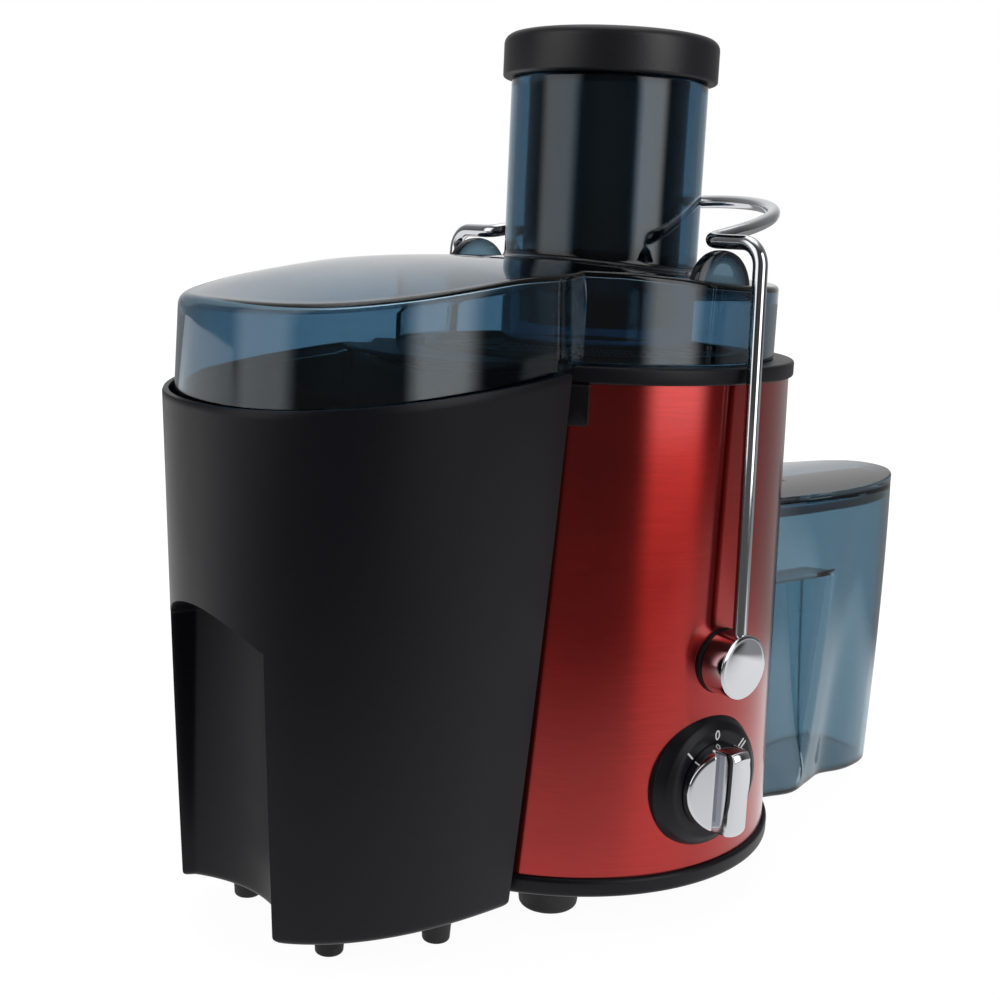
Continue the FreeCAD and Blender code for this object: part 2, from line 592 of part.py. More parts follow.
# Sieve: plastic hub and rim with the steel mesh cone between them, and the grater disc
def make_sieve():
    top = SIEVE_Z + SIEVE_HEIGHT
    socket_in = COUPLING_RADIUS + RUNNING_GAP
    socket_out = socket_in + SIEVE_RIM
    socket_top = COUPLING_Z + COUPLING_HEIGHT + HOLE_GAP
    socket_z = COUPLING_Z + COUPLING_COLLAR
    floor_z = SIEVE_Z - SIEVE_FLOOR
    hub = turned([(0, socket_top), (socket_in, socket_top), (socket_in, socket_z), (socket_out, socket_z),
                  (socket_out, floor_z), (SIEVE_BOTTOM_RADIUS, floor_z),
                  (SIEVE_BOTTOM_RADIUS, SIEVE_Z), (0, SIEVE_Z)])
    piece("sieve_hub", hub)
    outer = taper(SIEVE_BOTTOM_RADIUS, SIEVE_TOP_RADIUS, SIEVE_Z, top)
    inner = taper(SIEVE_BOTTOM_RADIUS - SIEVE_WALL, SIEVE_TOP_RADIUS - SIEVE_WALL, SIEVE_Z, top)
    piece("sieve_mesh", outer.cut(inner))
    rim_in = SIEVE_TOP_RADIUS - SIEVE_WALL
    piece("sieve_rim", tube(SIEVE_TOP_RADIUS + SIEVE_RIM, rim_in, top, top + SIEVE_RIM))
    disc_top = SIEVE_Z + GRATER_THICKNESS
    disc = rod(SIEVE_BOTTOM_RADIUS - SIEVE_WALL - SEAT_GAP, SIEVE_Z, disc_top)
    teeth = []
    for ring in range(1, GRATER_RINGS + 1):
        radius = ring * (SIEVE_BOTTOM_RADIUS - 6) / GRATER_RINGS
        count = 5 * ring
        for i in range(count):
            tooth = taper(TOOTH_SIZE / 2, TOOTH_SIZE / 6, disc_top - 0.5, disc_top + TOOTH_SIZE, radius)
            teeth.append(tooth.rotated(V(0, 0, 0), V(0, 0, 1), 360.0 * i / count))
    piece("grater_disc", fused([disc] + teeth))


# Roof of the lid: a crowned surface that falls away towards the container's far end
def roof_height(x, y):
    hood = max(0.0, (ROOF_HOOD_START - x) / ROOF_HOOD_LENGTH)
    tilt = ROOF_TILT * max(0.0, x - ROOF_TILT_START)
    ridge = LID_Z + ROOF_RISE - ROOF_HOOD_FALL * hood ** ROOF_HOOD_POWER - tilt
    crown = ROOF_CROWN + ROOF_HOOD_CROWN * hood ** 1.5
    return ridge - crown * y * y


def roof_block(drop):
    """Everything under the roof surface, lowered by drop."""
    reach = DRUM_RADIUS + 14
    x0 = CONTAINER_END - 20
    columns = 26
    rows = 13
    grid = []
    for i in range(columns):
        x = x0 + (reach - x0) * i / (columns - 1)
        line = []
        for j in range(rows):
            y = reach * (2.0 * j / (rows - 1) - 1)
            line.append(V(x, y, roof_height(x, y) - drop))
        grid.append(line)
    surface = Part.BSplineSurface()
    surface.interpolate(grid)
    return surface.toShape().extrude(V(0, 0, -2 * SHELL_HEIGHT))


# Lid: one clear moulding with the drum over the sieve, the hood over the container, chute and ears
def make_lid():
    hood = (CONTAINER_RIM_X, CONTAINER_RIM_LENGTH - LID_INSET, CONTAINER_RIM_WIDTH - LID_INSET)
    top = (CONTAINER_RIM_X, hood[1] - LID_DRAFT, hood[2] - LID_DRAFT)
    low = CONTAINER_RIM_Z - ROOF_RISE
    high = LID_Z + 2 * ROOF_RISE
    z1 = LID_Z + ROOF_RISE

    def plan(inset):
        cover = cup_form(hood, top, CONTAINER_RIM_Z, z1, inset, low, high, OUTLINE_POWER)
        cover = cover.cut(below_rim(LID_SEAT_GAP if inset == 0 else -2))
        drum = rod(DRUM_RADIUS - inset, LID_Z if inset == 0 else LID_Z - 9, high)
        return cover.fuse(drum)

    chute_out = rod(CHUTE_RADIUS, LID_Z + CHUTE_DIP - LID_WALL - 1, CHUTE_TOP, CHUTE_OFFSET)
    chute_low = tube(CHUTE_RADIUS, CHUTE_RADIUS - LID_WALL, LID_Z + 2, LID_Z + CHUTE_DIP, CHUTE_OFFSET)
    chute_in = rod(CHUTE_RADIUS - LID_WALL, LID_Z, CHUTE_TOP + 1, CHUTE_OFFSET)
    ear = ear_form()
    outer = plan(0).common(roof_block(0)).multiFuse([chute_out, ear, mirrored(ear)])
    inner = plan(LID_WALL).common(roof_block(LID_WALL))
    seat = rod(RIM_RADIUS + PULP_LIP_REACH + 0.3, LID_Z - 30, LID_Z)
    lid = outer.cut(inner).multiFuse([chute_low]).cut([chute_in, seat])
    biggest = max(lid.Solids, key=lambda s: s.Volume)
    piece("lid", biggest)


def ear_form():
    """Rounded ear on the drum that the arm presses on."""
    top = ARM_TOP_Z - ARM_WIRE / 2 - ARM_REST_GAP
    arch = cross_rod(EAR_RADIUS, -EAR_REACH, -EAR_REACH + EAR_WIDTH, ARM_TOP_X - 2, top - EAR_RADIUS)
    foot = block(ARM_TOP_X - 2 - EAR_RADIUS, ARM_TOP_X - 2 + EAR_RADIUS, -EAR_REACH, -EAR_REACH + EAR_WIDTH,
                 LID_Z + 26, top - EAR_RADIUS)
    return arch.common(block(-60, 60, -90, 0, LID_Z + 26, top + 1)).fuse(foot)


# Pusher: hollow plunger with a black cap that sits on the chute
def make_pusher():
    radius = CHUTE_RADIUS - LID_WALL - PUSHER_GAP
    low = CAP_Z - PUSHER_DEPTH
    hollow = rod(radius - PUSHER_WALL, low + PUSHER_WALL, CAP_Z + 1, CHUTE_OFFSET)
    piece("pusher_tube", rod(radius, low, CAP_Z, CHUTE_OFFSET).cut(hollow))
    cap = rod(CAP_RADIUS, CAP_Z, CAP_Z + CAP_HEIGHT, CHUTE_OFFSET)
    top_edges = [e for e in cap.Edges if abs(e.CenterOfMass.z - CAP_Z - CAP_HEIGHT) < 0.01 and e.isClosed()]
    piece("pusher_cap", cap.makeFillet(CAP_ROUND, top_edges))


# Pulp container: drafted tub that hugs the body, with a hand grip scooped out of its far end
def make_container():
    bottom = (CONTAINER_BOTTOM_X, CONTAINER_BOTTOM_LENGTH, CONTAINER_BOTTOM_WIDTH)
    rim = (CONTAINER_RIM_X, CONTAINER_RIM_LENGTH, CONTAINER_RIM_WIDTH)

    def tub(inset, low):
        form = cup_form(bottom, rim, CONTAINER_FOOT, CONTAINER_RIM_Z, inset, low, LID_Z + 20, OUTLINE_POWER)
        form = form.cut(rod(BODY_CLEAR + inset, low - 1, LID_Z + 30))
        form = form.common(below_rim(0 if inset == 0 else 10))
        form = form.cut(grip_form(inset))
        return max(form.Solids, key=lambda s: -s.CenterOfMass.x)

    inside = tub(CONTAINER_WALL, CONTAINER_FOOT + CONTAINER_WALL)
    piece("pulp_container", tub(0, CONTAINER_FOOT).cut(inside))
    feet = []
    for out, y in CONTAINER_FEET:
        for sy in (-1, 1):
            feet.append(taper(CONTAINER_FOOT_RADIUS - 0.8, CONTAINER_FOOT_RADIUS, 0, CONTAINER_FOOT,
                              -BODY_CLEAR - out, sy * y))
    piece("container_feet", *feet)


def grip_form(inset):
    """Arch-topped scoop, limited by an upright cylinder outside the container's end."""
    half = GRIP_HALF_WIDTH + inset
    top = GRIP_TOP + inset
    radius = GRIP_ARCH_RADIUS + inset
    x0 = CONTAINER_END - 30
    reach = GRIP_BACK + inset - x0
    arch = Part.makeCylinder(radius, reach, V(x0, 0, top - radius), V(1, 0, 0))
    arch = arch.fuse(block(x0, x0 + reach, -half, half, -5, top - radius))
    arch = arch.common(block(x0, x0 + reach, -half, half, -5, top))
    return arch.common(rod(GRIP_CURVE + inset, -6, top + 1, GRIP_BACK - GRIP_CURVE))


# Locking arm: one bent wire, from the front cap up, over the ears, round the chute and down again
def make_arm():
    rise = math.radians(ARM_LOOP_RISE)

    def loop_point(u, v):
        return V(ARM_TOP_X + u * math.cos(rise), v, ARM_TOP_Z + u * math.sin(rise))

    foot_y = CAP_FACE + PIVOT_CAP_LENGTH / 2
    foot = V(0, -foot_y, PIVOT_Z + PIVOT_PIN_RADIUS + INSERT_GAP)
    corner = V(ARM_TOP_X, -ARM_TOP_Y, ARM_TOP_Z)
    turn = V(ARM_TOP_X, -ARM_LOOP_RADIUS, ARM_TOP_Z)
    start = loop_point(ARM_LOOP_START, -ARM_LOOP_RADIUS)
    nose = loop_point(ARM_LOOP_START + ARM_LOOP_RADIUS, 0)
    end = loop_point(ARM_LOOP_START, ARM_LOOP_RADIUS)

    def bend(before, at, after, radius):
        a = (before - at).normalize()
        b = (after - at).normalize()
        half = a.getAngle(b) / 2
        reach = radius / math.tan(half)
        middle = (a + b).normalize() * (radius / math.sin(half) - radius)
        return at + a * reach, at + middle, at + b * reach

    def side(sign):
        def flip(p):
            return V(p.x, p.y * sign, p.z)
        first = bend(foot, corner, turn, ARM_CORNER)
        second = bend(corner, turn, start, ARM_LOOP_BEND)
        return [flip(foot)] + [flip(p) for p in first + second] + [flip(start)]

    near = side(1)
    far = side(-1)
    edges = []

    def leg(points):
        edges.append(Part.makeLine(points[0], points[1]))
        edges.append(Part.Arc(points[1], points[2], points[3]).toShape())
        edges.append(Part.makeLine(points[3], points[4]))
        edges.append(Part.Arc(points[4], points[5], points[6]).toShape())
        edges.append(Part.makeLine(points[6], points[7]))

    leg(near)
    edges.append(Part.Arc(near[-1], nose, end).toShape())
    leg(far)
    path = Part.Wire(Part.sortEdges(edges)[0])
    tangent = (near[1] - near[0]).normalize()
    section = Part.Wire([Part.Circle(near[0], tangent, ARM_WIRE / 2).toShape()])
    wire = path.makePipeShell([section], True, False)
    piece("locking_arm", wire)

    cap = cross_rod(PIVOT_CAP_RADIUS, -PIVOT_END, -CAP_FACE, 0, PIVOT_Z)
    front = [e for e in cap.Edges if abs(e.CenterOfMass.y + PIVOT_END) < 0.01 and e.isClosed()]
    cap = cap.makeFillet(PIVOT_CAP_ROUND, front)
    cam_y = LEG_IN - PIVOT_FLANGE - PIN_DEPTH
    pin = cross_rod(PIVOT_PIN_RADIUS - RUNNING_GAP, -CAP_FACE - PIN_DEPTH, -cam_y, 0, PIVOT_Z)
    piece("front_pivot_cap", cap.cut([pin, wire]))
    piece("rear_pivot_cap", mirrored(cap).cut([mirrored(pin), wire]))
    piece("pivot_pins", pin, mirrored(pin))


# Interlock: a cam on the rear pin's inner end that leaves a switch on the leg when the arm is down
def make_interlock():
    cam_y1 = LEG_IN - PIVOT_FLANGE - 0.4
    cam_y0 = cam_y1 - CAM_WIDTH
    pin = cross_rod(PIVOT_PIN_RADIUS - RUNNING_GAP, 0, CAP_FACE, 0, PIVOT_Z)
    cam = cross_rod(CAM_HUB, cam_y0, cam_y1, 0, PIVOT_Z)
    lobe = block(-CAM_WIDTH / 2, CAM_WIDTH / 2, cam_y0, cam_y1, PIVOT_Z - CAM_RADIUS, PIVOT_Z)
    lobe = lobe.common(cross_rod(CAM_RADIUS, cam_y0, cam_y1, 0, PIVOT_Z))
    piece("interlock_cam", cam.fuse(lobe).cut(pin))
    button = PIVOT_Z - CAM_RADIUS - BOWL_GAP
    switch = block(-10, 10, cam_y0 - 2, LEG_IN, LEG_Z, button - 1.5)
    switch = switch.fuse(block(-2, 2, cam_y0 + 1, cam_y1 - 1, button - 2, button))
    piece("interlock_switch", switch.removeSplitter())


# Pivot washers outside the shell and bushes in the deck's legs
def make_pivots():
    washer = cross_rod(WASHER_RADIUS, -PIVOT_FACE, -LEG_OUT, 0, PIVOT_Z)
    hole = cross_rod(PIVOT_PIN_RADIUS + INSERT_GAP, -PIVOT_FACE - 1, 0, 0, PIVOT_Z)
    washer = washer.cut([saddle_form(), hole])
    piece("pivot_washers", washer, mirrored(washer))
    bush = cross_rod(PIVOT_BUSH_RADIUS, -LEG_OUT - PIVOT_FLANGE, -LEG_IN, 0, PIVOT_Z)
    flange = cross_rod(PIVOT_FLANGE_RADIUS, -LEG_IN, -LEG_IN + PIVOT_FLANGE, 0, PIVOT_Z)
    bush = bush.fuse(flange).removeSplitter().cut(cross_rod(PIVOT_PIN_RADIUS, -PIVOT_SEAT, 0, 0, PIVOT_Z))
    piece("pivot_bushes", bush, mirrored(bush))


# Dial: round black plate on the shell, rotary switch behind it and the chromed knob
def make_dial():
    plate = cross_rod(DIAL_RADIUS, -DIAL_FACE, -SHELL_TOP_RADIUS / 2, 0, DIAL_Z)
    rim = [e for e in plate.Edges if abs(e.CenterOfMass.y + DIAL_FACE) < 0.01 and e.isClosed()]
    plate = plate.makeChamfer(DIAL_CHAMFER, rim)
    hole = cross_rod(DIAL_BUSH_RADIUS, -DIAL_FACE - 1, 0, 0, DIAL_Z)
    piece("dial_plate", on_dial(plate.cut([saddle_form(), hole])))
    half = SWITCH_SIZE / 2
    front = shell_radius(DIAL_Z) - SWITCH_INSET
    middle = front - SWITCH_DEPTH / 2
    case = block(-half, half, -front, -front + SWITCH_DEPTH, DIAL_Z - half, DIAL_Z + half)
    neck = cross_rod(DIAL_BUSH_RADIUS, -DIAL_FACE, -middle, 0, DIAL_Z)
    bore = cross_rod(KNOB_SPINDLE_RADIUS, -DIAL_FACE - 1, -middle, 0, DIAL_Z)
    piece("speed_switch", on_dial(case.fuse(neck).removeSplitter().cut(bore)))
    disc = cross_rod(KNOB_RADIUS, -KNOB_FACE - KNOB_DISC, -KNOB_FACE, 0, DIAL_Z)
    bar = block(-KNOB_BAR_WIDTH / 2, KNOB_BAR_WIDTH / 2, -KNOB_END, -KNOB_FACE - 1,
                DIAL_Z - KNOB_RADIUS, DIAL_Z + KNOB_RADIUS)
    bar = bar.common(cross_rod(KNOB_RADIUS, -KNOB_END - 1, 0, 0, DIAL_Z))
    spindle = cross_rod(KNOB_SPINDLE_RADIUS - RUNNING_GAP, -KNOB_FACE - KNOB_DISC, -middle - 1, 0, DIAL_Z)
    piece("speed_knob", on_dial(disc.fuse(bar).removeSplitter().cut(spindle)))
    piece("knob_spindle", on_dial(spindle))


# Small fixed pieces: container catches, cord gland and terminal block
def make_fittings():
    half = CATCH_WIDTH / 2
    catch = block(SHELL_TOP_RADIUS - CATCH_STAND, SHELL_TOP_RADIUS + CATCH_STAND, -half, half,
                  RIM_Z - CATCH_HEIGHT, RIM_Z)
    catch = catch.cut(saddle_form())
    catches = []
    for angle in (CATCH_ANGLE, -CATCH_ANGLE):
        catches.append(catch.rotated(V(0, 0, 0), V(0, 0, 1), angle))
    piece("container_catches", *catches)
    seat = shell_radius(GLAND_Z)
    face = seat + GLAND_FLANGE
    flange = cross_rod(GLAND_RADIUS + GLAND_FLANGE, 0, face, 0, GLAND_Z).cut(saddle_form())
    barrel = cross_rod(GLAND_RADIUS, seat - GLAND_RADIUS, face, 0, GLAND_Z)
    cord_hole = cross_rod(CORD_HOLE_RADIUS, 0, face + 1, 0, GLAND_Z)
    piece("cord_gland", flange.fuse(barrel).removeSplitter().cut(cord_hole))
    terminal = block(-14, 14, TERMINAL_Y - 6, TERMINAL_Y + 6, FLOOR_Z, FLOOR_Z + 12)
    screws = [rod(2.5, FLOOR_Z + 10, FLOOR_Z + 13, x, TERMINAL_Y) for x in (-9, 0, 9)]
    piece("terminal_block", terminal.cut(screws))


# Juice jug: clear drafted cup with a grip step on each side, and its plug-in lid
def make_jug():
    bottom = (JUG_BOTTOM_X, JUG_BOTTOM_LENGTH, JUG_BOTTOM_WIDTH)
    top = (JUG_TOP_X, JUG_TOP_LENGTH, JUG_TOP_WIDTH)

    def cup(inset, low, high):
        form = cup_form(bottom, top, 0, JUG_HEIGHT, inset, low, high, JUG_POWER)
        form = form.cut(rod(BODY_CLEAR + inset, low - 1, high + 1))
        return max(form.Solids, key=lambda s: s.CenterOfMass.x)

    def grips(inset):
        """Wedges cut from both sides, deepest under the step that the fingers lift."""
        x0 = BODY_CLEAR - 20
        side = JUG_TOP_WIDTH + 5
        step = JUG_GRIP_TOP + inset
        low = JUG_GRIP_HALF - inset
        high = low - JUG_GRIP_LEAN
        points = [V(x0, -side, 0), V(x0, -low, 0), V(x0, -high, step), V(x0, -side, step)]
        wedge = Part.Face(Part.makePolygon(points + points[:1]))
        grip = wedge.extrude(V(JUG_GRIP_X + inset - x0, 0, 0))
        return [grip, mirrored(grip)]

    outside = cup(0, 0, JUG_HEIGHT).cut(grips(0))
    inside = cup(JUG_WALL, JUG_WALL, JUG_HEIGHT + 1).cut(grips(JUG_WALL))
    piece("juice_jug", outside.cut(inside))
    lid_z = JUG_HEIGHT + JUG_LID_GAP / 2
    crown_z = lid_z + JUG_LID_THICKNESS
    half = JUG_TOP_WIDTH
    rise = JUG_LID_CROWN
    low = lid_z - JUG_LID_SKIRT
    arch = Part.Arc(V(0, -half, crown_z), V(0, 0, crown_z + rise), V(0, half, crown_z)).toShape()
    base = [Part.makeLine(V(0, half, crown_z), V(0, half, low)),
            Part.makeLine(V(0, half, low), V(0, -half, low)),
            Part.makeLine(V(0, -half, low), V(0, -half, crown_z))]
    dome = Part.Face(Part.Wire([arch] + base)).extrude(V(JUG_END, 0, 0))
    plate = cup(0, lid_z, lid_z + 12).common(dome)
    inset = JUG_WALL + JUG_LID_GAP
    skirt = cup(inset, low, lid_z + 1)
    skirt = skirt.cut(cup(inset + JUG_WALL, low - 1, lid_z + 2))
    notch = SPOUT_WIDTH / 2 + JUG_MOUTH_SIDE
    mouth = block(0, SPOUT_END + JUG_MOUTH_END, -notch, notch, lid_z - 20, lid_z + 20)
    piece("jug_lid", plate.fuse(skirt).removeSplitter().cut(mouth))


make_base()
make_shell()
make_deck()
make_bowl()
make_motor()
make_spindle()
make_sieve()
make_lid()
make_pusher()
make_container()
make_arm()
make_interlock()
make_pivots()
make_dial()
make_fittings()
make_jug()

for name, solids in PIECES.items():
    shape = Part.makeCompound([solid for item in solids for solid in item.Solids])
    shape.translate(V(AXIS_X, AXIS_Y, 0))
    if not shape.isValid() or not shape.Solids:
        raise ValueError("bad solid: " + name)
    shape.exportStep("parts/" + name + ".step")
print(len(PIECES), "pieces, motor axis at", round(AXIS_X, 3), round(AXIS_Y, 3))
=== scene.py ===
import math
import bmesh
import bpy
import numpy as np
from mathutils import Matrix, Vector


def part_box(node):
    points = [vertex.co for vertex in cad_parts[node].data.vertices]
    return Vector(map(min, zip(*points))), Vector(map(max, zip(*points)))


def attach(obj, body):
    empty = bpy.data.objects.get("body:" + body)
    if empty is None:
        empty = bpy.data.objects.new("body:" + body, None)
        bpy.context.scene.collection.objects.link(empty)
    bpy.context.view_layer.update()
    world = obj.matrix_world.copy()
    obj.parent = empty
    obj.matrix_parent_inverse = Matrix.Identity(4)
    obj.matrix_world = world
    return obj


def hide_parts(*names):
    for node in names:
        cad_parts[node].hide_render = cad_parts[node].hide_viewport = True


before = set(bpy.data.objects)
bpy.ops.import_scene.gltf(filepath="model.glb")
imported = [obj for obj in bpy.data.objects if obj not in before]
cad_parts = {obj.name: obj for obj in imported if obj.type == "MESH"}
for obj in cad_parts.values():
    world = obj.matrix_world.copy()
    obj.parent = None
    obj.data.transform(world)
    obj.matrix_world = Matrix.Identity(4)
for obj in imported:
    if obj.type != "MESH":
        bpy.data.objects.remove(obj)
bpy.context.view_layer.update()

# Rubber feet
# Four moulded rubber feet stand under the base, one at each corner screw. Each is a short cone
# with a rounded tread and a well for the screw's head, pressed on from below.
FOOT_SPREAD = 46.0
FOOT_HEIGHT = 14.5
FOOT_TREAD = 11.5
FOOT_TOP = 13.0
WELL_RADIUS = 4.5
WELL_DEPTH = 3.0
shaft_low, shaft_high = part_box("motor_shaft")
MOTOR_AXIS = np.array([500 * (shaft_low.x + shaft_high.x), 500 * (shaft_low.y + shaft_high.y), 0.0])


def turns(steps):
    """Even angles round one full turn."""
    return np.linspace(0, 2 * np.pi, steps, endpoint=False)


def points(*parts):
    """Points with the given coordinates, each an array or one number for all of them."""
    return np.stack(np.broadcast_arrays(*parts), -1)


def quads(rows, cols, wrap_rows, wrap_cols):
    """Grid neighbours (i, j), (i, j+1), (i+1, j+1), (i+1, j) for each face, counted round if it wraps."""
    i = np.arange(rows if wrap_rows else rows - 1)[:, None]
    j = np.arange(cols if wrap_cols else cols - 1)[None, :]
    i2 = (i + 1) % rows
    j2 = (j + 1) % cols
    return points(i * cols + j, i * cols + j2, i2 * cols + j2, i2 * cols + j).reshape(-1, 4)


def moulded(name, grids, crease=32):
    """One object from closed grids (points in mm about the motor axis, wraps in rows, wraps in columns):
    seams and poles merged, faces outward, smooth except over edges sharper than crease degrees."""
    spots = np.concatenate([g.reshape(-1, 3) for g, _, _ in grids])
    starts = np.cumsum([0] + [g.shape[0] * g.shape[1] for g, _, _ in grids])
    faces = [quads(g.shape[0], g.shape[1], a, b) + s for (g, a, b), s in zip(grids, starts)]
    mesh = bpy.data.meshes.new(name)
    mesh.from_pydata(((spots + MOTOR_AXIS) / 1000).tolist(), [], np.concatenate(faces).tolist())
    form = bmesh.new()
    form.from_mesh(mesh)
    bmesh.ops.remove_doubles(form, verts=form.verts, dist=2e-6)
    bmesh.ops.recalc_face_normals(form, faces=form.faces)
    form.to_mesh(mesh)
    form.free()
    mesh.shade_smooth()
    mesh.set_sharp_from_angle(angle=math.radians(crease))
    piece = bpy.data.objects.new(name, mesh)
    bpy.context.scene.collection.objects.link(piece)
    return piece


def corner_arc(start, corner, end, weight, t):
    """Arc that rounds a corner C between its tangent points A and B: the rational curve
    ((1-t)^2 A + 2wt(1-t) C + t^2 B) / ((1-t)^2 + 2wt(1-t) + t^2)."""
    pull = 2 * weight * t * (1 - t)
    return ((1 - t) ** 2 * start + pull * corner + t ** 2 * end) / ((1 - t) ** 2 + pull + t ** 2)


def rounded(corners, radii, steps=6):
    """Closed outline through corner points, each corner an arc of its radius."""
    c = np.asarray(corners, float)
    a = np.roll(c, 1, 0) - c
    b = np.roll(c, -1, 0) - c
    a /= np.linalg.norm(a, axis=1, keepdims=True)
    b /= np.linalg.norm(b, axis=1, keepdims=True)
    half = np.arccos(np.clip((a * b).sum(1, keepdims=True), -0.99999, 0.99999)) / 2
    reach = np.asarray(radii, float)[:, None] / np.tan(half)
    t = np.linspace(0, 1, steps)[None, :, None]
    ends = (c + a * reach)[:, None], (c + b * reach)[:, None]
    return corner_arc(ends[0], c[:, None], ends[1], np.sin(half)[:, None], t).reshape(-1, 2)


def turned(profile, angles=turns(160)):
    """Surface of revolution about Z: (r cos a, r sin a, z) for each profile point (r, z) and angle a."""
    r, z = profile.T
    a = angles[:, None]
    return points(r * np.cos(a), r * np.sin(a), z)


def feed(node, values):
    """Set a node's inputs: an output of another node is linked, any other value is set on the socket."""
    for socket, value in values.items():
        if isinstance(value, bpy.types.NodeSocket):
            node.id_data.links.new(value, node.inputs[socket])
        else:
            node.inputs[socket].default_value = value
    return node


def put(tree, kind, values, **settings):
    """Add a shader node with its settings and feed its inputs."""
    node = tree.nodes.new("ShaderNode" + kind)
    for setting, value in settings.items():
        setattr(node, setting, value)
    return feed(node, values)


def ramp(tree, value, span, low=0.0, high=1.0, kind="LINEAR"):
    """A value's way from low to high over a span, held level outside it."""
    sockets = {"Value": value, "From Min": span[0], "From Max": span[1], "To Min": low, "To Max": high}
    return put(tree, "MapRange", sockets, interpolation_type=kind).outputs["Result"]


def object_spots(tree):
    """Object coordinates, which are metres in the shared frame."""
    return put(tree, "TexCoord", {}).outputs["Object"]


def surface(material):
    """The Principled shader of a material."""
    return material.node_tree.nodes["Principled BSDF"]


def finish(name, values):
    """A material with one Principled shader whose plain values are set on its own sockets."""
    material = bpy.data.materials.new(name)
    material.use_nodes = True
    feed(surface(material), values)
    return material


def new_group(name, inputs, outputs):
    """An empty shader group with float inputs (name, value) and outputs, what it is given and its end."""
    group = bpy.data.node_groups.new(name, "ShaderNodeTree")
    for label, value in inputs:
        group.interface.new_socket(label, in_out="INPUT", socket_type="NodeSocketFloat").default_value = value
    for label in outputs:
        group.interface.new_socket(label, in_out="OUTPUT", socket_type="NodeSocketFloat")
    return group, group.nodes.new("NodeGroupInput").outputs, group.nodes.new("NodeGroupOutput")


def moulding_grain():
    """Mould finish on Object coordinates: Grain, a fine pebble for the bump, and Smudge, the broad
    uneven gloss that handling leaves, both from 0 to 1."""
    group, given, out = new_group("moulding_grain", [("Grain Scale", 1800.0), ("Smudge Scale", 22.0)],
                                  ["Grain", "Smudge"])
    where = object_spots(group)
    fine = put(group, "TexNoise", {"Vector": where, "Scale": given["Grain Scale"], "Detail": 2.0})
    broad = put(group, "TexNoise", {"Vector": where, "Scale": given["Smudge Scale"], "Detail": 4.0,
                                    "Distortion": 0.6})
    feed(out, {"Grain": fine.outputs["Fac"], "Smudge": broad.outputs["Fac"]})
    return group


MOULDING_GRAIN = moulding_grain()


def grained(name, values, scales, bump, dull, shiny):
    """A material with the mould finish: bump from the grain, and roughness that runs from shiny to dull with
    the smudges; scales are the grain's and the smudges'."""
    material = finish(name, values)
    tree = material.node_tree
    grain = put(tree, "Group", {}, node_tree=MOULDING_GRAIN)
    feed(grain, {"Grain Scale": scales[0], "Smudge Scale": scales[1]})
    relief = put(tree, "Bump", {"Strength": bump, "Distance": 0.0002, "Height": grain.outputs["Grain"]})
    feed(surface(material), {"Roughness": ramp(tree, grain.outputs["Smudge"], (0.3, 0.7), shiny, dull),
                             "Normal": relief.outputs["Normal"]})
    return material


RUBBER = grained("foot_rubber", {"Base Color": (0.012, 0.012, 0.013, 1)}, (900.0, 60.0), 0.5, 0.8, 0.62)


def dress(piece, material, body, slot, *nodes):
    """Give a piece its material, the body it rides on and the CAD nodes it stands for, which it hides; slot
    is not used.
    """
    piece.data.materials.append(material)
    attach(piece, body)
    if nodes:
        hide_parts(*nodes)


foot_profile = rounded([(0, WELL_DEPTH), (WELL_RADIUS, WELL_DEPTH), (WELL_RADIUS, 0), (FOOT_TREAD, 0),
                        (FOOT_TOP, FOOT_HEIGHT), (0, FOOT_HEIGHT)], [0, 0.5, 0.6, 2.2, 0.8, 0])
foot = turned(foot_profile, turns(80))
foot_spots = np.array([(sx, sy, 0) for sx in (-1, 1) for sy in (-1, 1)]) * FOOT_SPREAD
feet = moulded("feet_of_the_base", [(foot + spot, True, False) for spot in foot_spots])
dress(feet, RUBBER, "base", "rubber", "rubber_feet")

# Base plate
# The black tray that closes the body from below: one ABS moulding with a rounded ring that shows under
# the steel, a lip that centres the shell and a grid of cooling slots between the feet.
BASE_RADIUS = 91.0
BASE_LOW = FOOT_HEIGHT
SHELL_LOW = 22.0
LIP_TOP = SHELL_LOW + 5
TRAY_FLOOR = 18.0
GRILLE_REACH = 88.0
GRILLE_STEPS = 110
SLOT_PITCH = 8.0
SLOT_HALF_WIDTH = 2.4
SLOT_HALF_LENGTH = 22.4
SLOT_SLOPE = 0.8
SLOT_DEPTH = 3.0

SATIN_BLACK = grained("satin_black_abs", {"Base Color": (0.0055, 0.0054, 0.0086, 1),
                                          "Specular IOR Level": 0.22}, (2200.0, 16.0), 0.18, 0.42, 0.34)

under = points(np.linspace(0, GRILLE_REACH, GRILLE_STEPS), BASE_LOW)
ring = rounded([(GRILLE_REACH, BASE_LOW), (BASE_RADIUS, BASE_LOW), (BASE_RADIUS, SHELL_LOW),
                (87.7, SHELL_LOW), (87.5, LIP_TOP), (85, LIP_TOP), (85, TRAY_FLOOR), (0, TRAY_FLOOR)],
               [0, 2.2, 1.8, 0, 0.5, 0.5, 1, 0], 8)
plate = turned(np.concatenate([under, ring]), turns(300))


def slot_depth(x, y):
    """1 inside the seven slots along X, 8 mm apart and shorter to the sides, 0 outside, with sloped walls."""
    row = np.clip(np.round(y / SLOT_PITCH), -3, 3)
    across = np.clip(SLOT_HALF_WIDTH - np.abs(y - SLOT_PITCH * row), 0, SLOT_SLOPE)
    along = np.clip(SLOT_HALF_LENGTH - 2 * np.abs(row) - np.abs(x), 0, SLOT_SLOPE)
    return across * along / SLOT_SLOPE ** 2


